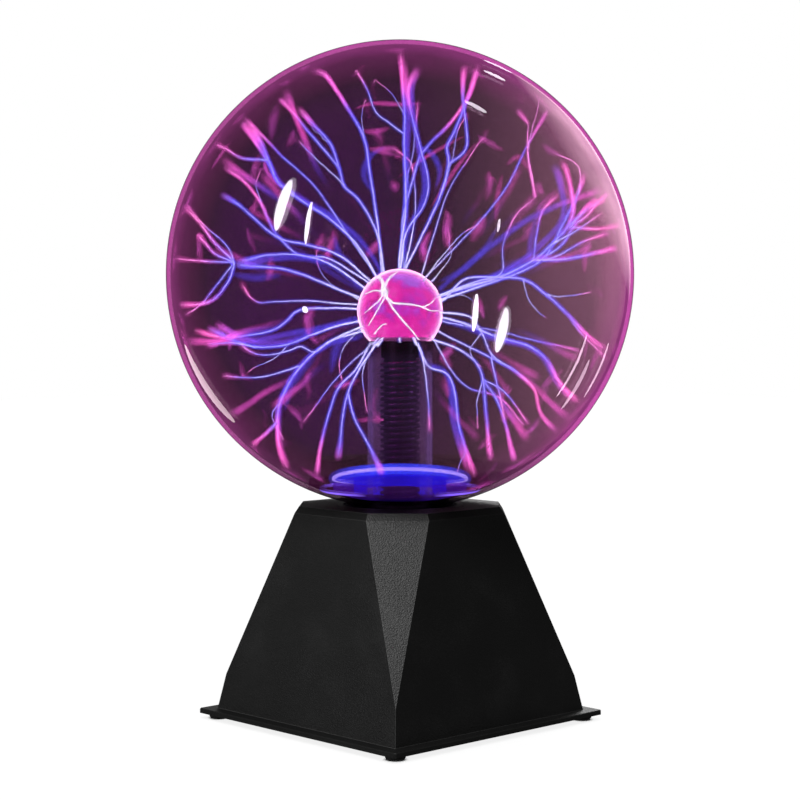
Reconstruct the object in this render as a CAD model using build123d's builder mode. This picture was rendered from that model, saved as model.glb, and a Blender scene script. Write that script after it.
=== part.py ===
from build123d import *

import os
from math import atan2, cos, radians, sin, sqrt

# Plasma ball: a glass globe with a re-entrant glass stem, on a faceted pyramid base that holds
# the high-voltage driver. Millimetres, +Z up. The origin is on the surface that the feet stand
# on, under the globe's centre. The switch and the power inlet are in the rear wall, which faces +Y.

os.makedirs("parts", exist_ok=True)

# ---------------------------------------------------------------- driving dimensions

GLOBE_RADIUS = 101.5
GLOBE_WALL = 2.0
GLOBE_ABOVE_PLATE = 190.3
NECK_RADIUS = 22.0

FOOT_RADIUS = 4.2
FOOT_HEIGHT = 2.0
FOOT_AT = 56.5
PLATE_SIDE = 125.6
PLATE_THICKNESS = 2.1

HOUSING_HEIGHT = 90.5
HOUSING_WALL = 2.2
SIDE_AT_BOTTOM = 56.9
SIDE_AT_TOP_EDGE = 41.3
TOP_EDGE_ABOVE_PLATE = 87.6
FACET_START_ABOVE_PLATE = 15.2
FACET_HALF_WIDTH = 13.1
BEVEL_INSET = 1.9

ELECTRODE_RADIUS = 18.4
ELECTRODE_BELOW_CENTRE = 15.6
STEM_RADIUS = 14.2
STEM_WALL = 1.2
COIL_PITCH = 2.55
COIL_WIRE = 0.75
COIL_RADIUS = 8.0

# ---------------------------------------------------------------- levels and radii that follow

PLATE_TOP = FOOT_HEIGHT + PLATE_THICKNESS
HOUSING_TOP = PLATE_TOP + HOUSING_HEIGHT
TOP_EDGE = PLATE_TOP + TOP_EDGE_ABOVE_PLATE
FACET_START = PLATE_TOP + FACET_START_ABOVE_PLATE
GLOBE_Z = PLATE_TOP + GLOBE_ABOVE_PLATE
ELECTRODE_Z = GLOBE_Z - ELECTRODE_BELOW_CENTRE
NECK_BORE = NECK_RADIUS - GLOBE_WALL
NECK_BOTTOM = HOUSING_TOP - 19.3

QUARTERS = [90 * k for k in range(4)]
CORNERS = [(x, y) for x in (-1, 1) for y in (-1, 1)]


def half_side(z):
    """Half the width of the housing's outer faces at height z."""
    share = (z - PLATE_TOP) / TOP_EDGE_ABOVE_PLATE
    return SIDE_AT_BOTTOM + (SIDE_AT_TOP_EDGE - SIDE_AT_BOTTOM) * share


def save(builder, name):
    """Label a finished piece and write it as its own STEP file."""
    builder.part.label = name
    export_step(builder.part, f"parts/{name}.step")


def corner_points(reach, z=0.0):
    """The four corners of a square, at height z."""
    return [(x * reach, y * reach, z) for x, y in CORNERS]


# ---------------------------------------------------------------- housing

FACET_AT_START = half_side(FACET_START) * sqrt(2)
FACET_AT_TOP_EDGE = SIDE_AT_TOP_EDGE * sqrt(2) - FACET_HALF_WIDTH
TOP_WALL = 2.6
CASE_BOSS_AT = 46.0
CASE_BOSS_RADIUS = 3.6
CASE_BOSS_TOP = 24.0
RIB_WIDTH = 1.8
RIB_LENGTH = 15.0
CASE_SCREW_RADIUS = 1.45
CASE_SCREW_LENGTH = 12.0
COLLAR_HOLE_RADIUS = 27.6
COLLAR_BOSS_AT = 33.0 / sqrt(2)
COLLAR_BOSS_RADIUS = 3.2
COLLAR_BOSS_DEPTH = 5.0
COLLAR_SCREW_RADIUS = 1.25


def leaning_plane(bearing, low, high, inset):
    """A plane from the (radius, height) point low to high, facing out along bearing, moved in by inset."""
    run = Vector(high[0] - low[0], 0, high[1] - low[1]).normalized()
    outward = Vector(run.Z, 0, -run.X)
    origin = Vector(low[0], 0, low[1]) - outward * inset
    return Plane(origin=origin.rotate(Axis.Z, bearing), z_dir=outward.rotate(Axis.Z, bearing))


def form_planes(inset):
    """The leaning planes that bound the pyramid: four faces, four corner facets and the bevel's eight."""
    planes = []
    for bearing in QUARTERS:
        side_low, side_high = (SIDE_AT_BOTTOM, PLATE_TOP), (SIDE_AT_TOP_EDGE, TOP_EDGE)
        facet_low, facet_high = (FACET_AT_START, FACET_START), (FACET_AT_TOP_EDGE, TOP_EDGE)
        planes.append(leaning_plane(bearing, side_low, side_high, inset))
        planes.append(leaning_plane(bearing + 45, facet_low, facet_high, inset))
        for turn, (radius, z) in ((0, side_high), (45, facet_high)):
            bevel_high = (radius - BEVEL_INSET, HOUSING_TOP)
            planes.append(leaning_plane(bearing + turn, (radius, z), bevel_high, inset))
    return planes


def pyramid_form(inset, top):
    """The solid pyramid, from the plate up to the height top, with every sloping face moved in by inset."""
    with BuildPart() as form:
        with BuildSketch(Plane.XY.offset(PLATE_TOP)):
            Rectangle(2 * SIDE_AT_BOTTOM, 2 * SIDE_AT_BOTTOM)
        extrude(amount=top - PLATE_TOP)
        for plane in form_planes(inset):
            split(bisect_by=plane, keep=Keep.BOTTOM)
    return form.part


# The rear panel's plane: x to the right as seen from behind, y up the slope, z straight out.
PANEL_Z = 30.0
WALL_LEAN = atan2(SIDE_AT_BOTTOM - SIDE_AT_TOP_EDGE, TOP_EDGE_ABOVE_PLATE)
PANEL_OUT = Vector(0, cos(WALL_LEAN), sin(WALL_LEAN))
PANEL_UP = Vector(0, -sin(WALL_LEAN), cos(WALL_LEAN))
rear_panel = Plane(origin=(0, half_side(PANEL_Z), PANEL_Z), x_dir=(-1, 0, 0), z_dir=PANEL_OUT)


def panel_plane(across, depth=0.0):
    """A plane parallel to the rear panel, moved across it and out of it by depth."""
    origin = rear_panel.from_local_coords(Vector(across, 0, depth))
    return Plane(origin=origin, x_dir=rear_panel.x_dir, z_dir=rear_panel.z_dir)


SWITCH_ACROSS = -20.0
JACK_ACROSS = 22.0
SWITCH_BOX = (19.8, 12.6)
CUTOUT_GAP = 0.2
JACK_THREAD_RADIUS = 4.5
JACK_HOLE_RADIUS = 4.6
MIC_HOLE_RADIUS = 1.2

housing_outside = pyramid_form(0, HOUSING_TOP)
housing_inside = pyramid_form(HOUSING_WALL, HOUSING_TOP - TOP_WALL)

with BuildPart() as base_housing:
    add(housing_outside)
    add(housing_inside, mode=Mode.SUBTRACT)
    with BuildSketch(Plane.XY.offset(PLATE_TOP)):
        with Locations(*corner_points(CASE_BOSS_AT)):
            Circle(CASE_BOSS_RADIUS)
            Rectangle(RIB_WIDTH, RIB_LENGTH)
            Rectangle(RIB_LENGTH, RIB_WIDTH)
    extrude(amount=CASE_BOSS_TOP - PLATE_TOP)
    add(housing_outside, mode=Mode.INTERSECT)
    with BuildSketch(Plane.XY.offset(HOUSING_TOP - TOP_WALL)):
        with Locations(*corner_points(COLLAR_BOSS_AT)):
            Circle(COLLAR_BOSS_RADIUS)
    extrude(amount=-COLLAR_BOSS_DEPTH)
    with BuildSketch(Plane.XY.offset(PLATE_TOP)):
        with Locations(*corner_points(CASE_BOSS_AT)):
            Circle(CASE_SCREW_RADIUS)
    extrude(amount=CASE_SCREW_LENGTH + 1, mode=Mode.SUBTRACT)
    with BuildSketch(Plane.XY.offset(HOUSING_TOP - TOP_WALL - COLLAR_BOSS_DEPTH)):
        with Locations(*corner_points(COLLAR_BOSS_AT)):
            Circle(COLLAR_SCREW_RADIUS)
    extrude(amount=COLLAR_BOSS_DEPTH - 0.4, mode=Mode.SUBTRACT)
    with BuildSketch(Plane.XY.offset(HOUSING_TOP)):
        Circle(COLLAR_HOLE_RADIUS)
    extrude(amount=-TOP_WALL, mode=Mode.SUBTRACT)
    with BuildSketch(rear_panel):
        with Locations((SWITCH_ACROSS, 0)):
            Rectangle(SWITCH_BOX[0] + CUTOUT_GAP, SWITCH_BOX[1] + CUTOUT_GAP)
        with Locations((JACK_ACROSS, 0)):
            Circle(JACK_HOLE_RADIUS)
        Circle(MIC_HOLE_RADIUS)
    extrude(amount=-HOUSING_WALL - 1, mode=Mode.SUBTRACT)
save(base_housing, "base_housing")

# ---------------------------------------------------------------- bottom plate, feet and case screws

BOARD_SIZE = (80.0, 72.0)
BOARD_THICKNESS = 1.6
BOARD_CENTRE_Y = -4.0
STANDOFF_HEIGHT = 6.0
STANDOFF_RADIUS = 3.2
STANDOFF_X = 36.0
STANDOFF_Y = 32.0
BOARD_SCREW_RADIUS = 1.4
BOARD_BOTTOM = PLATE_TOP + STANDOFF_HEIGHT
BOARD_TOP = BOARD_BOTTOM + BOARD_THICKNESS
LOCATING_RIM = SIDE_AT_BOTTOM - HOUSING_WALL - 0.9
RIM_WIDTH = 1.4
RIM_HEIGHT = 1.6
CASE_HEAD_RADIUS = 2.9

standoff_points = [(x * STANDOFF_X, BOARD_CENTRE_Y + y * STANDOFF_Y) for x, y in CORNERS]

with BuildPart() as bottom_plate:
    with BuildSketch(Plane.XY.offset(FOOT_HEIGHT)):
        Rectangle(PLATE_SIDE, PLATE_SIDE)
    extrude(amount=PLATE_THICKNESS)
    chamfer(bottom_plate.edges().filter_by(Axis.Z), length=0.8)
    chamfer(bottom_plate.faces().sort_by(Axis.Z)[-1].edges(), length=0.35)
    with BuildSketch(Plane.XY.offset(PLATE_TOP)):
        Rectangle(2 * LOCATING_RIM, 2 * LOCATING_RIM)
        Rectangle(2 * (LOCATING_RIM - RIM_WIDTH), 2 * (LOCATING_RIM - RIM_WIDTH), mode=Mode.SUBTRACT)
        with Locations(*corner_points(LOCATING_RIM)):
            Rectangle(30, 30, mode=Mode.SUBTRACT)
    extrude(amount=RIM_HEIGHT)
    with BuildSketch(Plane.XY.offset(PLATE_TOP)):
        with Locations(*standoff_points):
            Circle(STANDOFF_RADIUS)
    extrude(amount=STANDOFF_HEIGHT)
    with BuildSketch(Plane.XY.offset(BOARD_BOTTOM)):
        with Locations(*standoff_points):
            Circle(BOARD_SCREW_RADIUS)
    extrude(amount=-STANDOFF_HEIGHT + 0.6, mode=Mode.SUBTRACT)
    with Locations(*[Location((x, y, FOOT_HEIGHT), (180, 0, 0)) for x, y, _ in corner_points(CASE_BOSS_AT)]):
        CounterSinkHole(CASE_SCREW_RADIUS, CASE_HEAD_RADIUS, PLATE_THICKNESS)
    with BuildSketch(Plane.XY.offset(PLATE_TOP)):
        with GridLocations(0, 9, 1, 5):
            SlotOverall(34, 3)
    extrude(amount=-PLATE_THICKNESS, mode=Mode.SUBTRACT)
save(bottom_plate, "bottom_plate")

with BuildPart() as rubber_feet:
    with BuildSketch():
        with Locations(*corner_points(FOOT_AT)):
            Circle(FOOT_RADIUS)
    extrude(amount=FOOT_HEIGHT)
    chamfer(rubber_feet.faces().group_by(Axis.Z)[0].edges(), length=0.7)
save(rubber_feet, "rubber_feet")

with BuildPart() as bottom_plate_screws:
    with BuildSketch(Plane.XY.offset(FOOT_HEIGHT)):
        with Locations(*corner_points(CASE_BOSS_AT)):
            Circle(CASE_SCREW_RADIUS)
    extrude(amount=PLATE_THICKNESS + CASE_SCREW_LENGTH)
    with Locations(*corner_points(CASE_BOSS_AT, FOOT_HEIGHT)):
        Cone(
            CASE_HEAD_RADIUS,
            CASE_SCREW_RADIUS,
            CASE_HEAD_RADIUS - CASE_SCREW_RADIUS,
            align=(Align.CENTER, Align.CENTER, Align.MIN),
        )
    with Locations(*corner_points(CASE_BOSS_AT, FOOT_HEIGHT)):
        Box(3.2, 0.7, 1.2, mode=Mode.SUBTRACT)
        Box(0.7, 3.2, 1.2, mode=Mode.SUBTRACT)
save(bottom_plate_screws, "bottom_plate_screws")

# ---------------------------------------------------------------- glass globe and what holds its neck

NECK_JOIN = GLOBE_Z - sqrt(GLOBE_RADIUS**2 - NECK_RADIUS**2)
GLOBE_BORE = GLOBE_RADIUS - GLOBE_WALL
NECK_JOIN_INSIDE = GLOBE_Z - sqrt(GLOBE_BORE**2 - NECK_BORE**2)

with BuildPart() as glass_globe:
    with BuildSketch(Plane.XZ):
        with BuildLine():
            Line((NECK_BORE, NECK_BOTTOM), (NECK_RADIUS, NECK_BOTTOM))
            Line((NECK_RADIUS, NECK_BOTTOM), (NECK_RADIUS, NECK_JOIN))
            ThreePointArc(
                (NECK_RADIUS, NECK_JOIN),
                (GLOBE_RADIUS, GLOBE_Z),
                (0, GLOBE_Z + GLOBE_RADIUS),
            )
            Line((0, GLOBE_Z + GLOBE_RADIUS), (0, GLOBE_Z + GLOBE_BORE))
            ThreePointArc(
                (0, GLOBE_Z + GLOBE_BORE),
                (GLOBE_BORE, GLOBE_Z),
                (NECK_BORE, NECK_JOIN_INSIDE),
            )
            Line((NECK_BORE, NECK_JOIN_INSIDE), (NECK_BORE, NECK_BOTTOM))
        make_face()
    revolve(axis=Axis.Z)
save(glass_globe, "glass_globe")

GASKET_RADIUS = 25.0
GASKET_BOTTOM = NECK_BOTTOM + 10.0
GASKET_TOP = HOUSING_TOP - 0.3
SLEEVE_RADIUS = 27.5
LIP_RADIUS = 20.8
LIP_THICKNESS = 1.6
FLANGE_RADIUS = 37.5
FLANGE_THICKNESS = 2.5
FLANGE_TOP = HOUSING_TOP - TOP_WALL - COLLAR_BOSS_DEPTH

with BuildPart() as neck_gasket:
    with BuildSketch(Plane.XY.offset(GASKET_BOTTOM)):
        Circle(GASKET_RADIUS)
        Circle(NECK_RADIUS, mode=Mode.SUBTRACT)
    extrude(amount=GASKET_TOP - GASKET_BOTTOM)
    chamfer(neck_gasket.faces().sort_by(Axis.Z)[-1].edges(), length=0.5)
save(neck_gasket, "neck_gasket")

with BuildPart() as neck_collar:
    with BuildSketch(Plane.XY.offset(NECK_BOTTOM)):
        Circle(SLEEVE_RADIUS)
        Circle(GASKET_RADIUS, mode=Mode.SUBTRACT)
    extrude(amount=HOUSING_TOP - NECK_BOTTOM)
    with BuildSketch(Plane.XY.offset(NECK_BOTTOM - LIP_THICKNESS)):
        Circle(SLEEVE_RADIUS)
        Circle(LIP_RADIUS, mode=Mode.SUBTRACT)
    extrude(amount=LIP_THICKNESS)
    with BuildSketch(Plane.XY.offset(NECK_BOTTOM)):
        Circle(GASKET_RADIUS)
        Circle(NECK_RADIUS + 0.2, mode=Mode.SUBTRACT)
    extrude(amount=GASKET_BOTTOM - NECK_BOTTOM)
    with BuildSketch(Plane.XY.offset(FLANGE_TOP)):
        Circle(FLANGE_RADIUS)
        Circle(GASKET_RADIUS, mode=Mode.SUBTRACT)
        with Locations(*corner_points(COLLAR_BOSS_AT)):
            Circle(1.7, mode=Mode.SUBTRACT)
    extrude(amount=-FLANGE_THICKNESS)
save(neck_collar, "neck_collar")

COLLAR_HEAD_RADIUS = 2.8
COLLAR_HEAD_HEIGHT = 2.0
COLLAR_SCREW_REACH = COLLAR_BOSS_DEPTH - 0.8

with BuildPart() as collar_screws:
    with BuildSketch(Plane.XY.offset(FLANGE_TOP - FLANGE_THICKNESS)):
        with Locations(*corner_points(COLLAR_BOSS_AT)):
            Circle(COLLAR_SCREW_RADIUS)
    extrude(amount=FLANGE_THICKNESS + COLLAR_SCREW_REACH)
    with BuildSketch(Plane.XY.offset(FLANGE_TOP - FLANGE_THICKNESS)):
        with Locations(*corner_points(COLLAR_BOSS_AT)):
            Circle(COLLAR_HEAD_RADIUS)
    extrude(amount=-COLLAR_HEAD_HEIGHT)
    fillet(collar_screws.faces().group_by(Axis.Z)[0].edges(), radius=0.8)
save(collar_screws, "collar_screws")

# ---------------------------------------------------------------- inner glass stem and the electrode

STEM_BORE = STEM_RADIUS - STEM_WALL
BULB_BORE = ELECTRODE_RADIUS - STEM_WALL
FLARE_RADIUS = NECK_BORE - STEM_RADIUS
FLARE_TOP = NECK_BOTTOM + 10.5
BULB_JOIN = ELECTRODE_Z - sqrt(ELECTRODE_RADIUS**2 - STEM_RADIUS**2)
BULB_JOIN_INSIDE = ELECTRODE_Z - sqrt(BULB_BORE**2 - STEM_BORE**2)
FLARE_MID = 1 - 1 / sqrt(2)


def flare_arc(radius):
    """The quarter arc, centred on the neck's wall, by which the stem flares out to the neck."""
    return [
        (NECK_BORE - radius, FLARE_TOP),
        (NECK_BORE - radius + radius * FLARE_MID, FLARE_TOP - radius / sqrt(2)),
        (NECK_BORE, FLARE_TOP - radius),
    ]


with BuildPart() as inner_glass_stem:
    with BuildSketch(Plane.XZ):
        with BuildLine():
            ThreePointArc(*flare_arc(FLARE_RADIUS))
            Line((STEM_RADIUS, FLARE_TOP), (STEM_RADIUS, BULB_JOIN))
            ThreePointArc(
                (STEM_RADIUS, BULB_JOIN),
                (ELECTRODE_RADIUS, ELECTRODE_Z),
                (0, ELECTRODE_Z + ELECTRODE_RADIUS),
            )
            Line((0, ELECTRODE_Z + ELECTRODE_RADIUS), (0, ELECTRODE_Z + BULB_BORE))
            ThreePointArc(
                (0, ELECTRODE_Z + BULB_BORE),
                (BULB_BORE, ELECTRODE_Z),
                (STEM_BORE, BULB_JOIN_INSIDE),
            )
            Line((STEM_BORE, BULB_JOIN_INSIDE), (STEM_BORE, FLARE_TOP))
            ThreePointArc(*flare_arc(FLARE_RADIUS + STEM_WALL))
            Line(
                (NECK_BORE, FLARE_TOP - FLARE_RADIUS - STEM_WALL),
                (NECK_BORE, FLARE_TOP - FLARE_RADIUS),
            )
        make_face()
    revolve(axis=Axis.Z)
save(inner_glass_stem, "inner_glass_stem")

CORE_RADIUS = BULB_BORE - 0.3
CORE_FLAT = ELECTRODE_Z - 11.1
ROD_RADIUS = 1.5
ROD_BOTTOM = HOUSING_TOP - 14.0
ROD_TOP = ELECTRODE_Z - 2.0

with BuildPart() as electrode_core:
    with Locations((0, 0, ELECTRODE_Z)):
        Sphere(CORE_RADIUS)
    split(bisect_by=Plane.XY.offset(CORE_FLAT), keep=Keep.TOP)
    with BuildSketch(Plane.XY.offset(CORE_FLAT)):
        Circle(ROD_RADIUS)
    extrude(amount=ROD_TOP - CORE_FLAT, mode=Mode.SUBTRACT)
save(electrode_core, "electrode_core")

with BuildPart() as electrode_rod:
    with BuildSketch(Plane.XY.offset(ROD_BOTTOM)):
        Circle(ROD_RADIUS)
    extrude(amount=ROD_TOP - ROD_BOTTOM)
save(electrode_rod, "electrode_rod")

FORMER_RADIUS = 7.1
FORMER_HEAD_RADIUS = 8.3
FORMER_HEAD_HEIGHT = 8.3
FORMER_TOP = CORE_FLAT - 0.6
FORMER_BOTTOM = ROD_BOTTOM + 3.0
PLUG_BOTTOM = FLARE_TOP + 0.3
PLUG_TOP = HOUSING_TOP

with BuildPart() as coil_former:
    with BuildSketch(Plane.XY.offset(FORMER_BOTTOM)):
        Circle(FORMER_RADIUS)
    extrude(amount=FORMER_TOP - FORMER_BOTTOM)
    with BuildSketch(Plane.XY.offset(FORMER_TOP - FORMER_HEAD_HEIGHT)):
        Circle(FORMER_HEAD_RADIUS)
    extrude(amount=FORMER_HEAD_HEIGHT)
    chamfer(coil_former.faces().sort_by(Axis.Z)[-1].edges(), length=0.6)
    with BuildSketch(Plane.XY.offset(FORMER_BOTTOM)):
        Circle(ROD_RADIUS)
    extrude(amount=FORMER_TOP - FORMER_BOTTOM, mode=Mode.SUBTRACT)
save(coil_former, "coil_former")

with BuildPart() as stem_plug:
    with BuildSketch(Plane.XY.offset(PLUG_BOTTOM)):
        Circle(STEM_BORE)
        Circle(FORMER_RADIUS, mode=Mode.SUBTRACT)
    extrude(amount=PLUG_TOP - PLUG_BOTTOM)
    chamfer(stem_plug.faces().sort_by(Axis.Z)[-1].edges().sort_by(SortBy.RADIUS)[-1], length=1.0)
save(stem_plug, "stem_plug")

COIL_BOTTOM = PLUG_TOP + COIL_WIRE + 0.1
COIL_TOP = FORMER_TOP - FORMER_HEAD_HEIGHT - COIL_WIRE - 0.1

with BuildPart() as stem_coil:
    with BuildLine() as coil_path:
        Helix(COIL_PITCH, COIL_TOP - COIL_BOTTOM, COIL_RADIUS, center=(0, 0, COIL_BOTTOM))
    with BuildSketch(Plane(origin=coil_path.line @ 0, z_dir=coil_path.line % 0)):
        Circle(COIL_WIRE)
    sweep(path=coil_path.line, is_frenet=True)
save(stem_coil, "stem_coil")

# ---------------------------------------------------------------- driver board

BOARD_SCREW_REACH = 5.0
BOARD_HEAD_RADIUS = 2.5
BOARD_HEAD_HEIGHT = 1.8
PIN_PITCH = 2.54

with BuildPart() as circuit_board:
    with BuildSketch(Plane.XY.offset(BOARD_BOTTOM)):
        with Locations((0, BOARD_CENTRE_Y)):
            Rectangle(*BOARD_SIZE)
        with Locations(*standoff_points):
            Circle(BOARD_SCREW_RADIUS + 0.2, mode=Mode.SUBTRACT)
    extrude(amount=BOARD_THICKNESS)
save(circuit_board, "circuit_board")

with BuildPart() as board_screws:
    with BuildSketch(Plane.XY.offset(BOARD_TOP - BOARD_SCREW_REACH)):
        with Locations(*standoff_points):
            Circle(BOARD_SCREW_RADIUS)
    extrude(amount=BOARD_SCREW_REACH)
    with BuildSketch(Plane.XY.offset(BOARD_TOP)):
        with Locations(*standoff_points):
            Circle(BOARD_HEAD_RADIUS)
    extrude(amount=BOARD_HEAD_HEIGHT)
    fillet(board_screws.faces().group_by(Axis.Z)[-1].edges(), radius=0.7)
    with Locations(*[(x, y, BOARD_TOP + BOARD_HEAD_HEIGHT) for x, y in standoff_points]):
        Box(3.0, 0.6, 1.6, mode=Mode.SUBTRACT)
        Box(0.6, 3.0, 1.6, mode=Mode.SUBTRACT)
save(board_screws, "board_screws")

# ---------------------------------------------------------------- high-voltage transformer

CORE_LEG = 9.0
CORE_WIDTH = 36.0
CORE_HEIGHT = 42.0
CORE_GAP = 0.2
CORE_X = -10.0
CORE_Y = -8.0
PRIMARY_X = CORE_X - (CORE_WIDTH - CORE_LEG) / 2
SECONDARY_X = CORE_X + (CORE_WIDTH - CORE_LEG) / 2
FORMER_HOLE = CORE_LEG + 0.2
FORMER_TUBE_RADIUS = 7.4
FORMER_FLANGE = 1.2
FORMER_LENGTH = CORE_HEIGHT - 2 * CORE_LEG - 0.4
FORMER_Z = BOARD_TOP + CORE_LEG + 0.2
PRIMARY_RADIUS = 9.0
SECONDARY_RADIUS = 11.8
FLANGE_OVERHANG = 0.6
CLAMP_X = -11.4
CLAMP_WIDTH = 4.0
CLAMP_THICKNESS = 0.6

with BuildPart() as transformer_core:
    with BuildSketch(Plane.XZ.offset(-CORE_Y - CORE_LEG / 2)):
        with Locations((CORE_X, BOARD_TOP + CORE_HEIGHT / 2)):
            RectangleRounded(CORE_WIDTH, CORE_HEIGHT, radius=1.0)
            Rectangle(CORE_WIDTH - 2 * CORE_LEG, CORE_HEIGHT - 2 * CORE_LEG, mode=Mode.SUBTRACT)
            Rectangle(CORE_WIDTH + 1, CORE_GAP, mode=Mode.SUBTRACT)
    extrude(amount=CORE_LEG)
save(transformer_core, "transformer_core")

with BuildPart() as winding_formers:
    for x, radius in ((PRIMARY_X, PRIMARY_RADIUS), (SECONDARY_X, SECONDARY_RADIUS)):
        with BuildSketch(Plane.XY.offset(FORMER_Z)):
            with Locations((x, CORE_Y)):
                Circle(FORMER_TUBE_RADIUS)
        extrude(amount=FORMER_LENGTH)
        for z in (FORMER_Z, FORMER_Z + FORMER_LENGTH - FORMER_FLANGE):
            with BuildSketch(Plane.XY.offset(z)):
                with Locations((x, CORE_Y)):
                    Circle(radius + FLANGE_OVERHANG)
            extrude(amount=FORMER_FLANGE)
        with BuildSketch(Plane.XY.offset(FORMER_Z)):
            with Locations((x, CORE_Y)):
                Rectangle(FORMER_HOLE, FORMER_HOLE)
        extrude(amount=FORMER_LENGTH, mode=Mode.SUBTRACT)
save(winding_formers, "winding_formers")

WINDING_Z = FORMER_Z + FORMER_FLANGE
WINDING_LENGTH = FORMER_LENGTH - 2 * FORMER_FLANGE

with BuildPart() as primary_winding:
    with BuildSketch(Plane.XY.offset(WINDING_Z)):
        with Locations((PRIMARY_X, CORE_Y)):
            Circle(PRIMARY_RADIUS)
            Circle(FORMER_TUBE_RADIUS, mode=Mode.SUBTRACT)
    extrude(amount=WINDING_LENGTH)
save(primary_winding, "primary_winding")

with BuildPart() as secondary_winding:
    with BuildSketch(Plane.XY.offset(WINDING_Z)):
        with Locations((SECONDARY_X, CORE_Y)):
            Circle(SECONDARY_RADIUS)
            Circle(FORMER_TUBE_RADIUS, mode=Mode.SUBTRACT)
    extrude(amount=WINDING_LENGTH)
save(secondary_winding, "secondary_winding")

with BuildPart() as core_clamp:
    with BuildSketch(Plane.YZ.offset(CLAMP_X - CLAMP_WIDTH / 2)):
        with Locations((CORE_Y, BOARD_TOP)):
            Rectangle(
                CORE_LEG + 2 * CLAMP_THICKNESS,
                CORE_HEIGHT + CLAMP_THICKNESS,
                align=(Align.CENTER, Align.MIN),
            )
            Rectangle(
                CORE_LEG,
                CORE_HEIGHT,
                align=(Align.CENTER, Align.MIN),
                mode=Mode.SUBTRACT,
            )
    extrude(amount=CLAMP_WIDTH)
save(core_clamp, "core_clamp")

# ---------------------------------------------------------------- output transistor on its heat sink

SINK_X = 24.0
SINK_Y = -10.0
SINK_PLATE = 3.0
SINK_DEPTH = 14.0
SINK_LENGTH = 30.0
SINK_HEIGHT = 28.0
FIN_THICKNESS = 1.3
FIN_COUNT = 6
FIN_PITCH = (SINK_LENGTH - FIN_THICKNESS) / (FIN_COUNT - 1)
TAB_WIDTH = 10.2
TAB_THICKNESS = 1.3
TAB_BOTTOM = BOARD_TOP + 4.5
BODY_HEIGHT = 9.0
TAB_HEIGHT = 15.4
TRANSISTOR_BODY_THICKNESS = 3.2
SINK_SCREW_Z = TAB_BOTTOM + 12.4
SINK_SCREW_RADIUS = 1.4

with BuildPart() as heat_sink:
    with BuildSketch(Plane.XY.offset(BOARD_TOP)):
        with Locations((SINK_X + SINK_PLATE / 2, SINK_Y)):
            Rectangle(SINK_PLATE, SINK_LENGTH)
        with Locations((SINK_X + SINK_DEPTH / 2, SINK_Y)):
            with GridLocations(0, FIN_PITCH, 1, FIN_COUNT):
                Rectangle(SINK_DEPTH, FIN_THICKNESS)
    extrude(amount=SINK_HEIGHT)
    with Locations(Location((SINK_X, SINK_Y, SINK_SCREW_Z), (0, 90, 0))):
        Cylinder(
            SINK_SCREW_RADIUS,
            SINK_PLATE + 0.5,
            align=(Align.CENTER, Align.CENTER, Align.MIN),
            mode=Mode.SUBTRACT,
        )
save(heat_sink, "heat_sink")

with BuildPart() as transistor_tab:
    with BuildSketch(Plane.YZ.offset(SINK_X - TAB_THICKNESS)):
        with Locations((SINK_Y, TAB_BOTTOM)):
            Rectangle(TAB_WIDTH, TAB_HEIGHT, align=(Align.CENTER, Align.MIN))
        with Locations((SINK_Y, SINK_SCREW_Z)):
            Circle(SINK_SCREW_RADIUS, mode=Mode.SUBTRACT)
    extrude(amount=TAB_THICKNESS)
save(transistor_tab, "transistor_tab")

with BuildPart() as transistor_body:
    with BuildSketch(Plane.YZ.offset(SINK_X - TAB_THICKNESS)):
        with Locations((SINK_Y, TAB_BOTTOM)):
            Rectangle(TAB_WIDTH - 0.2, BODY_HEIGHT, align=(Align.CENTER, Align.MIN))
    extrude(amount=-TRANSISTOR_BODY_THICKNESS)
    chamfer(transistor_body.faces().sort_by(Axis.X)[0].edges(), length=0.4)
save(transistor_body, "transistor_body")

with BuildPart() as transistor_legs:
    with BuildSketch(Plane.XY.offset(BOARD_TOP)):
        with Locations((SINK_X - TAB_THICKNESS - TRANSISTOR_BODY_THICKNESS / 2, SINK_Y)):
            with GridLocations(0, PIN_PITCH, 1, 3):
                Rectangle(0.6, 0.9)
    extrude(amount=TAB_BOTTOM - BOARD_TOP)
save(transistor_legs, "transistor_legs")

with BuildPart() as heat_sink_screw:
    with Locations(Location((SINK_X - TAB_THICKNESS, SINK_Y, SINK_SCREW_Z), (0, 90, 0))):
        Cylinder(
            SINK_SCREW_RADIUS,
            TAB_THICKNESS + SINK_PLATE,
            align=(Align.CENTER, Align.CENTER, Align.MIN),
        )
        Cylinder(2.6, 1.9, align=(Align.CENTER, Align.CENTER, Align.MAX))
    fillet(heat_sink_screw.faces().sort_by(Axis.X)[0].edges(), radius=0.7)
    with Locations((SINK_X - TAB_THICKNESS - 1.9, SINK_Y, SINK_SCREW_Z)):
        Box(1.6, 3.2, 0.7, mode=Mode.SUBTRACT)
        Box(1.6, 0.7, 3.2, mode=Mode.SUBTRACT)
save(heat_sink_screw, "heat_sink_screw")

# ---------------------------------------------------------------- small components on the board

CANS = [(-28.0, 14.0, 5.0, 16.0), (-15.0, 14.0, 5.0, 16.0), (-4.0, 17.0, 3.2, 11.0), (5.0, 17.0, 3.2, 11.0)]
FILM_CAPACITORS = [(17.0, -33.0, 18.0, 7.0, 12.0), (-4.0, -33.5, 13.0, 5.0, 10.0)]
CHIP_AT = (15.0, 12.5)
CHIP_BODY = (9.6, 6.4, 3.2)
CHIP_LIFT = 0.5
CHIP_ROW = 7.62
RESISTORS = [(-24.0, -26.0), (-24.0, -30.0), (-24.0, -34.0), (-24.0, -38.0), (34.0, 14.0), (34.0, 18.0)]
RESISTOR_BODY = (1.2, 6.3)
RESISTOR_SPAN = 10.16
RESISTOR_LIFT = 1.5
LEG_RADIUS = 0.3

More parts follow.
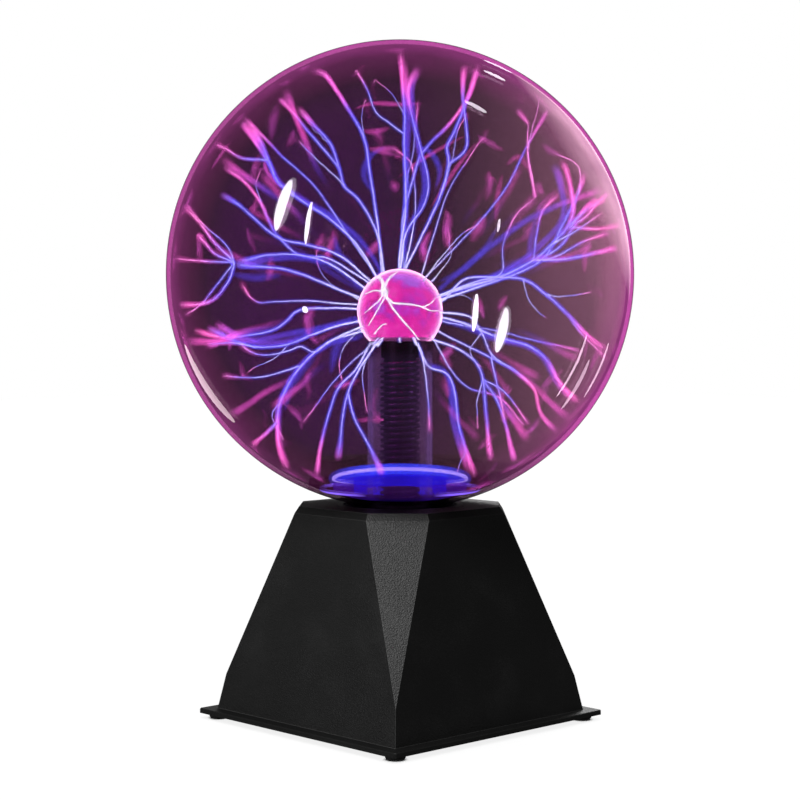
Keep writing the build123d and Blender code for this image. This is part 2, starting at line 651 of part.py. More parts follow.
with BuildPart() as can_capacitors:
    for x, y, radius, height in CANS:
        with BuildSketch(Plane.XY.offset(BOARD_TOP)):
            with Locations((x, y)):
                Circle(radius)
        extrude(amount=height)
        with BuildSketch(Plane.XY.offset(BOARD_TOP + height)):
            with Locations((x, y)):
                Rectangle(radius * 1.4, 0.35)
                Rectangle(0.35, radius * 1.4)
        extrude(amount=-0.3, mode=Mode.SUBTRACT)
save(can_capacitors, "can_capacitors")

with BuildPart() as film_capacitors:
    for x, y, length, width, height in FILM_CAPACITORS:
        with BuildSketch(Plane.XY.offset(BOARD_TOP)):
            with Locations((x, y)):
                RectangleRounded(length, width, radius=1.0)
        extrude(amount=height)
save(film_capacitors, "film_capacitors")

with BuildPart() as driver_chip:
    with BuildSketch(Plane.XY.offset(BOARD_TOP + CHIP_LIFT)):
        with Locations(CHIP_AT):
            Rectangle(CHIP_BODY[0], CHIP_BODY[1])
            with Locations((-CHIP_BODY[0] / 2, 0)):
                Circle(0.9, mode=Mode.SUBTRACT)
    extrude(amount=CHIP_BODY[2])
save(driver_chip, "driver_chip")

with BuildPart() as chip_legs:
    for side in (-1, 1):
        leg_y = CHIP_AT[1] + side * CHIP_ROW / 2
        shoulder_y = CHIP_AT[1] + side * (CHIP_BODY[1] / 2 + CHIP_ROW / 2 + 0.125) / 2
        shoulder_depth = CHIP_ROW / 2 + 0.125 - CHIP_BODY[1] / 2
        with BuildSketch(Plane.XY.offset(BOARD_TOP)):
            with Locations((CHIP_AT[0], leg_y)):
                with GridLocations(PIN_PITCH, 0, 4, 1):
                    Rectangle(0.5, 0.25)
        extrude(amount=CHIP_LIFT + CHIP_BODY[2] / 2)
        with BuildSketch(Plane.XY.offset(BOARD_TOP + CHIP_LIFT + CHIP_BODY[2] / 2)):
            with Locations((CHIP_AT[0], shoulder_y)):
                with GridLocations(PIN_PITCH, 0, 4, 1):
                    Rectangle(1.3, shoulder_depth)
        extrude(amount=-0.25)
save(chip_legs, "chip_legs")

with BuildPart() as resistors:
    with Locations(*[Location((x, y, BOARD_TOP + RESISTOR_LIFT), (0, 90, 0)) for x, y in RESISTORS]):
        Cylinder(RESISTOR_BODY[0], RESISTOR_BODY[1])
    fillet(resistors.edges().filter_by(GeomType.CIRCLE), radius=0.5)
save(resistors, "resistors")

with BuildPart() as resistor_legs:
    for x, y in RESISTORS:
        for side in (-1, 1):
            start = (x + side * RESISTOR_BODY[1] / 2, y, BOARD_TOP + RESISTOR_LIFT)
            knee = (x + side * RESISTOR_SPAN / 2, y, BOARD_TOP + RESISTOR_LIFT)
            foot = (x + side * RESISTOR_SPAN / 2, y, BOARD_TOP)
            with BuildLine() as leg:
                FilletPolyline(start, knee, foot, radius=0.6)
            with BuildSketch(Plane(origin=start, z_dir=(side, 0, 0))):
                Circle(LEG_RADIUS)
            sweep(path=leg.line)
save(resistor_legs, "resistor_legs")

# ---------------------------------------------------------------- power inlet in the rear panel

JACK_FLANGE_RADIUS = 6.2
JACK_FLANGE_THICKNESS = 1.5
JACK_DEPTH = 12.0
JACK_BORE_RADIUS = 2.85
JACK_BORE_LENGTH = 9.5
JACK_PIN_RADIUS = 1.0
JACK_TAIL_RADIUS = 0.8
JACK_PIN_RECESS = 1.5
JACK_NUT_FLATS = 6.4
JACK_NUT_THICKNESS = 2.4
JACK_SLOT_WIDTH = 2.0
SPRING_THICKNESS = 0.4
LUG_LENGTH = 5.0
JACK_BORE_END = JACK_FLANGE_THICKNESS - JACK_BORE_LENGTH

with BuildPart() as jack_body:
    with BuildSketch(panel_plane(JACK_ACROSS)):
        Circle(JACK_FLANGE_RADIUS)
    extrude(amount=JACK_FLANGE_THICKNESS)
    chamfer(jack_body.edges().sort_by(Axis.Y)[-1], length=0.5)
    with BuildSketch(panel_plane(JACK_ACROSS)):
        Circle(JACK_THREAD_RADIUS)
    extrude(amount=-JACK_DEPTH)
    with BuildSketch(panel_plane(JACK_ACROSS, JACK_FLANGE_THICKNESS)):
        Circle(JACK_BORE_RADIUS)
    extrude(amount=-JACK_BORE_LENGTH, mode=Mode.SUBTRACT)
    with BuildSketch(panel_plane(JACK_ACROSS, JACK_BORE_END)):
        Circle(JACK_TAIL_RADIUS)
    extrude(amount=-JACK_DEPTH, mode=Mode.SUBTRACT)
    with BuildSketch(panel_plane(JACK_ACROSS, -HOUSING_WALL - JACK_NUT_THICKNESS - 0.4)):
        with Locations((0, JACK_THREAD_RADIUS)):
            Rectangle(JACK_SLOT_WIDTH, 2 * (JACK_THREAD_RADIUS - JACK_BORE_RADIUS) + 0.6)
    extrude(amount=-JACK_DEPTH, mode=Mode.SUBTRACT)
save(jack_body, "jack_body")

with BuildPart() as jack_nut:
    with BuildSketch(panel_plane(JACK_ACROSS, -HOUSING_WALL)):
        RegularPolygon(JACK_NUT_FLATS, 6, major_radius=False)
        Circle(JACK_THREAD_RADIUS, mode=Mode.SUBTRACT)
    extrude(amount=-JACK_NUT_THICKNESS)
save(jack_nut, "jack_nut")

with BuildPart() as jack_pin:
    with BuildSketch(panel_plane(JACK_ACROSS, JACK_BORE_END)):
        Circle(JACK_PIN_RADIUS)
    extrude(amount=-JACK_PIN_RECESS - JACK_BORE_END)
    chamfer(jack_pin.edges().sort_by(Axis.Y)[-1], length=0.4)
    with BuildSketch(panel_plane(JACK_ACROSS, JACK_BORE_END)):
        Circle(JACK_TAIL_RADIUS)
    extrude(amount=-JACK_DEPTH - LUG_LENGTH - JACK_BORE_END)
save(jack_pin, "jack_pin")

with BuildPart() as jack_spring:
    with BuildSketch(panel_plane(JACK_ACROSS, -HOUSING_WALL - JACK_NUT_THICKNESS - 0.8)):
        with Locations((0, JACK_BORE_RADIUS + 0.5 + SPRING_THICKNESS / 2)):
            Rectangle(JACK_SLOT_WIDTH - 0.3, SPRING_THICKNESS)
    extrude(amount=-(JACK_DEPTH + LUG_LENGTH - HOUSING_WALL - JACK_NUT_THICKNESS - 0.8))
save(jack_spring, "jack_spring")

# ---------------------------------------------------------------- three-position rocker switch

BEZEL = (23.0, 15.4)
BEZEL_THICKNESS = 1.5
SWITCH_DEPTH = 13.0
SWITCH_FLOOR = 1.6
SWITCH_OPENING = (17.6, 10.2)
SNAP_RIDGE = (0.7, 6.0)
SNAP_RIDGE_LENGTH = 3.0
ROCKER_WIDTH = 9.7
ROCKER_END_RADIUS = 8.55
ROCKER_CORNER_ANGLE = 23.0
ROCKER_MIDDLE_Z = 1.9
ROCKER_UNDERSIDE = -2.6
ROCKER_UNDERSIDE_HALF = 5.6
PIVOT_RADIUS = 1.0
PIVOT_CLEARANCE = 0.05
PIVOT_LENGTH = 0.7
BOSS_RADIUS = 2.3
BOSS_BOTTOM = -4.6
PLUNGER_HOLE_RADIUS = 1.3
PLUNGER_HOLE_TOP = -0.4
PLUNGER_RADIUS = 1.25
PLUNGER_TOP = -3.2
PLUNGER_TIP = -8.0
SPRING_RADIUS = 0.95
SPRING_WIRE = 0.14
SPRING_PITCH = 0.5
SEESAW_HALF_LENGTH = 6.2
SEESAW_WIDTH = 4.0
SEESAW_THICKNESS = 0.5
SEESAW_TOP = -8.1
SEESAW_LIFT = 0.1
SEESAW_CONTACT = 0.3
TERMINAL_ACROSS = 5.4
TERMINAL_WIDTH = 4.6
TERMINAL_THICKNESS = 0.8
TERMINAL_BOTTOM = -19.0
CONTACT_RADIUS = 0.9
CONTACT_TOP = -9.75

switch_side = Plane(
    origin=panel_plane(SWITCH_ACROSS).origin,
    x_dir=rear_panel.x_dir,
    z_dir=PANEL_UP * -1,
)

with BuildPart() as switch_frame:
    with BuildSketch(panel_plane(SWITCH_ACROSS)):
        RectangleRounded(*BEZEL, radius=1.2)
    extrude(amount=BEZEL_THICKNESS)
    fillet(switch_frame.faces().sort_by(Axis((0, 0, 0), PANEL_OUT))[-1].edges(), radius=0.7)
    with BuildSketch(panel_plane(SWITCH_ACROSS)):
        Rectangle(*SWITCH_BOX)
    extrude(amount=-SWITCH_DEPTH)
    with BuildSketch(panel_plane(SWITCH_ACROSS, -HOUSING_WALL - 0.1)):
        with Locations((-SWITCH_BOX[0] / 2, 0), (SWITCH_BOX[0] / 2, 0)):
            Rectangle(2 * SNAP_RIDGE[0], SNAP_RIDGE[1])
    extrude(amount=-SNAP_RIDGE_LENGTH)
    with BuildSketch(panel_plane(SWITCH_ACROSS, BEZEL_THICKNESS)):
        Rectangle(*SWITCH_OPENING)
    extrude(amount=-(BEZEL_THICKNESS + SWITCH_DEPTH - SWITCH_FLOOR), mode=Mode.SUBTRACT)
    with BuildSketch(panel_plane(SWITCH_ACROSS, -SWITCH_DEPTH + SWITCH_FLOOR)):
        with GridLocations(TERMINAL_ACROSS, 0, 3, 1):
            Rectangle(TERMINAL_THICKNESS, TERMINAL_WIDTH)
    extrude(amount=-SWITCH_FLOOR, mode=Mode.SUBTRACT)
    with BuildSketch(switch_side.offset(-SWITCH_OPENING[1] / 2 - PIVOT_LENGTH)):
        Circle(PIVOT_RADIUS + PIVOT_CLEARANCE)
    extrude(amount=SWITCH_OPENING[1] + 2 * PIVOT_LENGTH, mode=Mode.SUBTRACT)
save(switch_frame, "switch_frame")

corner_x = ROCKER_END_RADIUS * cos(radians(ROCKER_CORNER_ANGLE))
corner_z = ROCKER_END_RADIUS * sin(radians(ROCKER_CORNER_ANGLE))
lower_x = sqrt(ROCKER_END_RADIUS**2 - 1)
PIVOT_REACH = SWITCH_OPENING[1] / 2 + PIVOT_LENGTH - 0.1

with BuildPart() as rocker:
    with BuildSketch(switch_side.offset(-ROCKER_WIDTH / 2)):
        with BuildLine():
            Line((corner_x, corner_z), (0, ROCKER_MIDDLE_Z))
            Line((0, ROCKER_MIDDLE_Z), (-corner_x, corner_z))
            ThreePointArc((-corner_x, corner_z), (-ROCKER_END_RADIUS, 0), (-lower_x, -1))
            Line((-lower_x, -1), (-ROCKER_UNDERSIDE_HALF, ROCKER_UNDERSIDE))
            Line((-ROCKER_UNDERSIDE_HALF, ROCKER_UNDERSIDE), (ROCKER_UNDERSIDE_HALF, ROCKER_UNDERSIDE))
            Line((ROCKER_UNDERSIDE_HALF, ROCKER_UNDERSIDE), (lower_x, -1))
            ThreePointArc((lower_x, -1), (ROCKER_END_RADIUS, 0), (corner_x, corner_z))
        make_face()
    extrude(amount=ROCKER_WIDTH)
    with BuildSketch(switch_side.offset(-PIVOT_REACH)):
        Circle(PIVOT_RADIUS)
    extrude(amount=2 * PIVOT_REACH)
    with BuildSketch(panel_plane(SWITCH_ACROSS, BOSS_BOTTOM)):
        Circle(BOSS_RADIUS)
    extrude(amount=ROCKER_UNDERSIDE - BOSS_BOTTOM)
    with BuildSketch(panel_plane(SWITCH_ACROSS, BOSS_BOTTOM)):
        Circle(PLUNGER_HOLE_RADIUS)
    extrude(amount=PLUNGER_HOLE_TOP - BOSS_BOTTOM, mode=Mode.SUBTRACT)
save(rocker, "rocker")

with BuildPart() as rocker_plunger:
    with BuildSketch(panel_plane(SWITCH_ACROSS, PLUNGER_TOP)):
        Circle(PLUNGER_RADIUS)
    extrude(amount=PLUNGER_TIP - PLUNGER_TOP)
    fillet(rocker_plunger.edges().sort_by(Axis((0, 0, 0), PANEL_OUT))[0], radius=1.0)
save(rocker_plunger, "rocker_plunger")

SPRING_BOTTOM = PLUNGER_TOP + SPRING_WIRE
SPRING_LENGTH = PLUNGER_HOLE_TOP - PLUNGER_TOP - 2 * SPRING_WIRE
spring_seat = panel_plane(SWITCH_ACROSS, SPRING_BOTTOM)

with BuildPart() as plunger_spring:
    with BuildLine() as spring_path:
        Helix(
            SPRING_PITCH,
            SPRING_LENGTH,
            SPRING_RADIUS,
            center=spring_seat.origin,
            direction=spring_seat.z_dir,
        )
    with BuildSketch(Plane(origin=spring_path.line @ 0, z_dir=spring_path.line % 0)):
        Circle(SPRING_WIRE)
    sweep(path=spring_path.line, is_frenet=True)
save(plunger_spring, "plunger_spring")

with BuildPart() as contact_seesaw:
    with BuildSketch(panel_plane(SWITCH_ACROSS, SEESAW_TOP)):
        Rectangle(2 * SEESAW_HALF_LENGTH, SEESAW_WIDTH)
    extrude(amount=-SEESAW_THICKNESS)
    with BuildSketch(panel_plane(SWITCH_ACROSS, SEESAW_TOP - SEESAW_THICKNESS)):
        with Locations((-TERMINAL_ACROSS, 0), (TERMINAL_ACROSS, 0)):
            Circle(CONTACT_RADIUS)
    extrude(amount=-SEESAW_CONTACT)
save(contact_seesaw, "contact_seesaw")

with BuildPart() as switch_terminals:
    with BuildSketch(panel_plane(SWITCH_ACROSS, TERMINAL_BOTTOM)):
        with GridLocations(TERMINAL_ACROSS, 0, 3, 1):
            Rectangle(TERMINAL_THICKNESS, TERMINAL_WIDTH)
    extrude(amount=-SWITCH_DEPTH + SWITCH_FLOOR - TERMINAL_BOTTOM)
    with BuildSketch(panel_plane(SWITCH_ACROSS, -SWITCH_DEPTH + SWITCH_FLOOR)):
        with Locations((-TERMINAL_ACROSS, 0), (TERMINAL_ACROSS, 0)):
            Circle(CONTACT_RADIUS)
    extrude(amount=CONTACT_TOP + SWITCH_DEPTH - SWITCH_FLOOR)
    with BuildSketch(panel_plane(SWITCH_ACROSS, -SWITCH_DEPTH + SWITCH_FLOOR)):
        Rectangle(TERMINAL_THICKNESS, TERMINAL_WIDTH)
    extrude(amount=SEESAW_TOP - SEESAW_THICKNESS + SWITCH_DEPTH - SWITCH_FLOOR - SEESAW_LIFT)
save(switch_terminals, "switch_terminals")

# ---------------------------------------------------------------- microphone behind its hole

MIC_RADIUS = 4.8
MIC_LENGTH = 6.5
BOOT_RADIUS = 6.0
BOOT_LENGTH = 5.0

with BuildPart() as microphone:
    with BuildSketch(panel_plane(0, -HOUSING_WALL - 0.3)):
        Circle(MIC_RADIUS)
    extrude(amount=-MIC_LENGTH)
save(microphone, "microphone")

with BuildPart() as microphone_boot:
    with BuildSketch(panel_plane(0, -HOUSING_WALL)):
        Circle(BOOT_RADIUS)
        Circle(MIC_RADIUS, mode=Mode.SUBTRACT)
    extrude(amount=-BOOT_LENGTH)
save(microphone_boot, "microphone_boot")

# ---------------------------------------------------------------- wiring held inside the base

LEAD_RADIUS = 0.8
MIC_LEAD_RADIUS = 0.45
HV_LEAD_RADIUS = 1.3
FERRULE_RADIUS = 2.3
FERRULE_BOTTOM = ROD_BOTTOM - 1.5
FERRULE_LENGTH = 4.2
LEAD_BEND = 4.8
MIC_LEAD_BEND = 3.0
HV_LEAD_BEND = 8.0


def panel_point(across, up, depth):
    """A point given across, up and out of the rear panel."""
    return rear_panel.from_local_coords(Vector(across, up, depth))


def lead_route(start, foot, straight):
    """A wire's route: straight in from start on the panel's back, then over and down to foot on the board."""
    knee = start - PANEL_OUT * straight
    above = Vector(foot[0], foot[1], knee.Z - 1.0)
    return [start, knee, above, Vector(foot[0], foot[1], BOARD_TOP)]


POWER_ROUTES = [
    lead_route(panel_point(JACK_ACROSS, 0, -JACK_DEPTH - LUG_LENGTH), (-16.5, 24.0), 5.0),
    lead_route(panel_point(JACK_ACROSS, 3.55, -JACK_DEPTH - LUG_LENGTH), (-27.5, 23.0), 5.0),
]
SWITCH_ROUTES = [
    lead_route(panel_point(SWITCH_ACROSS - TERMINAL_ACROSS, 0, TERMINAL_BOTTOM), (31.0, 22.0), 5.0),
    lead_route(panel_point(SWITCH_ACROSS, 0, TERMINAL_BOTTOM), (23.5, 20.0), 5.5),
    lead_route(panel_point(SWITCH_ACROSS + TERMINAL_ACROSS, 0, TERMINAL_BOTTOM), (10.5, 22.5), 5.0),
]
MIC_ROUTES = [
    lead_route(panel_point(side, 0, -HOUSING_WALL - 0.3 - MIC_LENGTH), (-1.5 * side, 27.0), 8.0)
    for side in (-1.3, 1.3)
]


def mouth(route):
    """The plane across the start of a wire."""
    return Plane(origin=route[0], z_dir=(route[1] - route[0]))


with BuildPart() as power_leads:
    for route in POWER_ROUTES:
        with BuildLine() as run:
            FilletPolyline(*route, radius=LEAD_BEND / 2)
        with BuildSketch(mouth(route)):
            Circle(LEAD_RADIUS)
        sweep(path=run.line)
save(power_leads, "power_leads")

with BuildPart() as switch_leads:
    for route in SWITCH_ROUTES:
        with BuildLine() as run:
            FilletPolyline(*route, radius=LEAD_BEND / 2)
        with BuildSketch(mouth(route)):
            Circle(LEAD_RADIUS)
        sweep(path=run.line)
save(switch_leads, "switch_leads")

with BuildPart() as microphone_leads:
    for route in MIC_ROUTES:
        with BuildLine() as run:
            FilletPolyline(*route, radius=MIC_LEAD_BEND)
        with BuildSketch(mouth(route)):
            Circle(MIC_LEAD_RADIUS)
        sweep(path=run.line)
save(microphone_leads, "microphone_leads")

HV_START = Vector(SECONDARY_X + 4.5, CORE_Y + 7.5, WINDING_Z + WINDING_LENGTH + FORMER_FLANGE)
HV_ROUTE = [
    HV_START,
    Vector(HV_START.X, HV_START.Y, HV_START.Z + 12),
    Vector(0, 0, FERRULE_BOTTOM - 12),
    Vector(0, 0, FERRULE_BOTTOM),
]

with BuildPart() as high_voltage_lead:
    with BuildLine() as run:
        FilletPolyline(*HV_ROUTE, radius=HV_LEAD_BEND)
    with BuildSketch(mouth(HV_ROUTE)):
        Circle(HV_LEAD_RADIUS)
    sweep(path=run.line)
save(high_voltage_lead, "high_voltage_lead")

with BuildPart() as rod_ferrule:
    with BuildSketch(Plane.XY.offset(FERRULE_BOTTOM)):
        Circle(FERRULE_RADIUS)
    extrude(amount=FERRULE_LENGTH)
    with BuildSketch(Plane.XY.offset(ROD_BOTTOM)):
        Circle(ROD_RADIUS)
    extrude(amount=FERRULE_LENGTH, mode=Mode.SUBTRACT)
    chamfer(rod_ferrule.faces().sort_by(Axis.Z)[-1].edges(), length=0.2)
save(rod_ferrule, "rod_ferrule")
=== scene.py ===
import collections
import math
import random

import bmesh
import bpy
from mathutils import Matrix, Vector, noise


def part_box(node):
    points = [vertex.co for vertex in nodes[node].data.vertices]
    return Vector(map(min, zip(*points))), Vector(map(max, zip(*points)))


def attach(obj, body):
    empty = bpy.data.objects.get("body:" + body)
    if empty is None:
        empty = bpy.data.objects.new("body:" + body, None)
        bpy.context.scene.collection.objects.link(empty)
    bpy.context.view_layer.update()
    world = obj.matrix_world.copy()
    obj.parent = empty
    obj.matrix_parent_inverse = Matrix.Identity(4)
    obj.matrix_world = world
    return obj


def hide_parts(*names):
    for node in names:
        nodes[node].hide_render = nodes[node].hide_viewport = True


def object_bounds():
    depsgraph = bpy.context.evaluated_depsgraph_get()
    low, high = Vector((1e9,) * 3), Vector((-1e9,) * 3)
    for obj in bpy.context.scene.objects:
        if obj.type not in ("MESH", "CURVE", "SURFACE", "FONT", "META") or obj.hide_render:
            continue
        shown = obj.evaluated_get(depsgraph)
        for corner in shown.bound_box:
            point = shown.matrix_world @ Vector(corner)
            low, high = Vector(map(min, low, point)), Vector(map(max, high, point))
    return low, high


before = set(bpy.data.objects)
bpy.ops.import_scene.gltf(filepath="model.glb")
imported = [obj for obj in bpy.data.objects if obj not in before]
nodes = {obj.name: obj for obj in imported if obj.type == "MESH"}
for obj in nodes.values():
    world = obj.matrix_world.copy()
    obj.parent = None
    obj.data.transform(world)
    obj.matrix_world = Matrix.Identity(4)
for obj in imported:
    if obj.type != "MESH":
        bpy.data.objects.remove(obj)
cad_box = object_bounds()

scene = bpy.context.scene
scene.cycles.transparent_max_bounces = 80
scene.view_settings.view_transform = "Standard"
mm = 0.001

# ---------------------------------------------------------------- places taken from the CAD

globe_low, globe_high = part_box("glass_globe")
GLOBE_R = globe_high.y
GLOBE = Vector((0, 0, globe_high.z - GLOBE_R))
BULB_R = 18.4 * mm
BULB = Vector((0, 0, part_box("inner_glass_stem")[1].z - BULB_R))
WALL = 0.975  # where the discharge ends, inside the glass, in globe radii
GLOW_R = BULB_R + 0.35 * mm  # the electrode's glow lies just off its bulb


def below(drop):
    """The height that lies drop, in mm, below the globe's middle."""
    return GLOBE.z - drop * mm



# ---------------------------------------------------------------- camera at the photograph's angle

AZIMUTH = math.radians(46.3)
DISTANCE = 0.850
EYE_LEVEL = 0.1755
LOOK_DOWN = 2.38  # degrees
TO_CAMERA = Vector((math.sin(AZIMUTH), -math.cos(AZIMUTH), 0))
RIGHT = Vector((math.cos(AZIMUTH), math.sin(AZIMUTH), 0))
UP = Vector((0, 0, 1))

camera_data = bpy.data.cameras.new("camera")
camera_data.lens = 87.5
camera_data.sensor_width = 36
camera = bpy.data.objects.new("camera", camera_data)
scene.collection.objects.link(camera)
camera.location = TO_CAMERA * DISTANCE + UP * EYE_LEVEL
camera.rotation_euler = (math.radians(90 - LOOK_DOWN), 0, AZIMUTH)
scene.camera = camera

# ---------------------------------------------------------------- material helpers


def grey(level):
    return (level, level, level)


def shade(colour, by):
    return tuple(min(1.0, c * by) for c in colour)


def opaque(colour):
    """A colour with its alpha; a socket stays as it is."""
    return (*colour, 1) if isinstance(colour, tuple) else colour


class Shader:
    """A procedural material under construction."""

    def __init__(self, name):
        self.material = bpy.data.materials.new(name)
        self.material.use_nodes = True
        self.tree = self.material.node_tree
        self.tree.nodes.clear()
        self.out = self.add("ShaderNodeOutputMaterial")

    def add(self, kind, inputs=None, **settings):
        node = self.tree.nodes.new(kind)
        for key, value in settings.items():
            setattr(node, key, value)
        for key, value in (inputs or {}).items():
            if isinstance(value, bpy.types.NodeSocket):
                self.tree.links.new(value, node.inputs[key])
            else:
                node.inputs[key].default_value = value
        return node

    def place(self):
        return self.add("ShaderNodeTexCoord").outputs["Object"]

    def dot(self, first, second):
        made = self.add("ShaderNodeVectorMath", {0: first, 1: second}, operation="DOT_PRODUCT")
        return made.outputs["Value"]

    def along(self, way):
        """How far a point lies along a direction."""
        return self.dot(self.place(), tuple(way))

    def height(self):
        return self.add("ShaderNodeSeparateXYZ", {0: self.place()}).outputs["Z"]

    def facing(self):
        """0 where the surface is seen square on, 1 where it is seen edge on."""
        return self.add("ShaderNodeLayerWeight", {"Blend": 0.5}).outputs["Facing"]

    def noise(self, scale, detail=3.0, rough=0.5, at=None):
        inputs = {"Vector": at or self.place(), "Scale": scale, "Detail": detail, "Roughness": rough}
        return self.add("ShaderNodeTexNoise", inputs).outputs["Fac"]

    def swing(self, scale, width):
        """Noise about zero, width across at most."""
        return self.times(self.minus(self.noise(scale, 2.0), 0.5), width)

    def ramp(self, factor, stops, how="LINEAR"):
        made = self.add("ShaderNodeValToRGB", {"Fac": factor})
        made.color_ramp.interpolation = how
        elements = made.color_ramp.elements
        while len(elements) < len(stops):
            elements.new(0.5)
        for element, (at, colour) in zip(elements, stops):
            element.position = at
            element.color = (*colour, 1)
        return made.outputs["Color"]

    def levels(self, factor, stops):
        """A ramp of plain numbers."""
        return self.ramp(factor, [(at, grey(level)) for at, level in stops])

    def spread(self, value, low, high, to_low=0.0, to_high=1.0):
        inputs = {"Value": value, "From Min": low, "From Max": high, "To Min": to_low, "To Max": to_high}
        return self.add("ShaderNodeMapRange", inputs).outputs["Result"]

    def vary(self, noise, low, high):
        """Noise spread from low to high: most of it lies between 0.3 and 0.7."""
        return self.spread(noise, 0.3, 0.7, low, high)

    def tones(self, noise, first, second):
        """Noise as a blend of two colours."""
        return self.ramp(noise, [(0.3, first), (0.7, second)])

    def maths(self, kind, a, b=None):
        inputs = {0: a} if b is None else {0: a, 1: b}
        return self.add("ShaderNodeMath", inputs, operation=kind).outputs["Value"]

    def plus(self, a, b):
        return self.maths("ADD", a, b)

    def minus(self, a, b):
        return self.maths("SUBTRACT", a, b)

    def times(self, a, b):
        return self.maths("MULTIPLY", a, b)

    def mix(self, factor, first, second, how="MIX"):
        colours = {"Fac": factor, "Color1": opaque(first), "Color2": opaque(second)}
        return self.add("ShaderNodeMixRGB", colours, blend_type=how).outputs["Color"]

    def bump(self, height, distance):
        return self.add("ShaderNodeBump", {"Height": height, "Distance": distance}).outputs["Normal"]

    def either(self, factor, first, second):
        """The first shader where factor is 0, the second where it is 1."""
        return self.add("ShaderNodeMixShader", {0: factor, 1: first, 2: second}).outputs["Shader"]

    def surface(self, shader):
        self.tree.links.new(shader, self.out.inputs["Surface"])
        return self.material

    def solid(self, base, roughness, normal, **others):
        """Finishes an opaque material."""
        inputs = {"Base Color": base, "Roughness": roughness, "Normal": normal}
        inputs.update({key.replace("_", " "): value for key, value in others.items()})
        return self.surface(self.add("ShaderNodeBsdfPrincipled", inputs).outputs["BSDF"])

    def glow(self, shader):
        """Finishes a material that shines but that Cycles doesn't treat as a lamp."""
        self.surface(shader).cycles.emission_sampling = "NONE"
        return self.material


def moulded(name, colour, roughness=0.5, grain=900.0, depth=0.05, speck=0.0, specular=0.4, edge_highlight=0.0):
    """Moulded plastic: fine eroded grain, faint mottling, small bright specks and a painted highlight along
    its edges.
    """
    s = Shader(name)
    broad = s.noise(40.0, 2.0)
    fine = s.noise(grain, 4.0, 0.65)
    cells = s.add("ShaderNodeTexVoronoi", {"Vector": s.place(), "Scale": grain * 0.8}).outputs["Distance"]
    tone = s.plus(s.times(broad, 0.4), s.times(fine, 0.6))
    base = s.ramp(tone, [(0.3, shade(colour, 0.7)), (0.52, colour), (0.72, shade(colour, 1.35 + speck))])
    # Painted highlight: the edges turn paler where the bevelled normal turns from the flat one.
    if edge_highlight:
        rounded = s.add("ShaderNodeBevel", {"Radius": 0.35 * mm}).outputs["Normal"]
        flat = s.add("ShaderNodeNewGeometry").outputs["True Normal"]
        base = s.mix(s.spread(s.dot(rounded, flat), 0.998, 0.965), base, grey(edge_highlight))
    height = s.plus(fine, s.times(cells, 0.7))
    worn = s.vary(fine, roughness - 0.08, roughness + 0.1)
    return s.solid(base, worn, s.bump(height, depth * mm), Specular_IOR_Level=specular)


def metal(name, colour, roughness=0.3, stretch=(1, 1, 1), grain=500.0, depth=0.01):
    """Metal with drawn or brushed marks: stretch pulls the grain out along an axis."""
    s = Shader(name)
    at = s.add("ShaderNodeMapping", {"Vector": s.place(), "Scale": stretch}).outputs["Vector"]
    marks = s.noise(grain, 5.0, 0.6, at)
    base = s.ramp(s.noise(120.0, 3.0), [(0.3, shade(colour, 0.78)), (0.65, colour)])
    brushed = s.vary(marks, roughness * 0.7, roughness * 1.35)
    return s.solid(base, brushed, s.bump(marks, depth * mm), Metallic=1.0)


def glossy_coat(name, colour, roughness=0.3, lump=150.0, depth=0.05, second=None):
    """Lacquer, tape or wire insulation: smooth, slightly lumpy, gently uneven in colour."""
    s = Shader(name)
    lumps = s.noise(lump, 3.0)
    base = s.ramp(lumps, [(0.35, second or shade(colour, 0.75)), (0.6, colour)])
    uneven = s.vary(s.noise(lump * 4), roughness * 0.8, roughness * 1.3)
    return s.solid(base, uneven, s.bump(lumps, depth * mm))


def paint(node, material):
    """Gives a CAD node its better material."""
    for slot in nodes[node].material_slots:
        slot.material = material


# ---------------------------------------------------------------- glass

GLASS_TINT = (0.41, 0.34, 0.385)
GAIN = 1 / (0.4 * 0.4)  # makes up for the light lost through the near wall


def glazed(s, under, colour, roughness, head_on):
    """Glass over a shader: it reflects head_on square to it and all at grazing angles, from either side."""
    shine = s.add("ShaderNodeBsdfGlossy", {"Color": opaque(colour), "Roughness": roughness}).outputs["BSDF"]
    reflectance = s.spread(s.maths("POWER", s.facing(), 5.0), 0.0, 1.0, head_on, 1.0)
    return s.either(reflectance, under, shine)


s = Shader("globe_glass")
clear = s.add("ShaderNodeBsdfTransparent", {"Color": opaque(GLASS_TINT)}).outputs["BSDF"]
smears = s.vary(s.noise(14.0, 3.0), 0.012, 0.024)
globe_glass = s.surface(glazed(s, clear, (0.42, 0.38, 0.44), smears, 0.035))

# ---------------------------------------------------------------- light inside the globe


def seen(colour):
    """A light's hue before both faces of the near wall tint it, so that it looks like colour from outside."""
    raised = [c / (t * t) for c, t in zip(colour, GLASS_TINT)]
    return tuple(c / max(raised) for c in raised)


def gas(s, colour, strength, cover):
    """Thin glowing gas, used also for painted glows: colour shows as cover says, and the rest is clear."""
    clear = s.add("ShaderNodeBsdfTransparent").outputs["BSDF"]
    light = s.add("ShaderNodeEmission", {"Color": opaque(colour), "Strength": strength * GAIN})
    return s.either(cover, clear, light.outputs["Emission"])


# Hue of the discharge, from the electrode's white through lavender and blue to pink at the glass.
GAS_HUES = [
    (0.00, (0.80, 0.74, 1.00)),
    (0.22, (0.38, 0.32, 1.00)),
    (0.42, (0.07, 0.05, 0.95)),
    (0.62, (0.06, 0.03, 0.85)),
    (0.76, (0.32, 0.05, 0.78)),
    (0.87, (0.60, 0.05, 0.55)),
    (1.00, (0.74, 0.04, 0.38)),
]


def paler(colour, by):
    """A colour moved towards white."""
    return tuple(c + (1 - c) * by for c in colour)


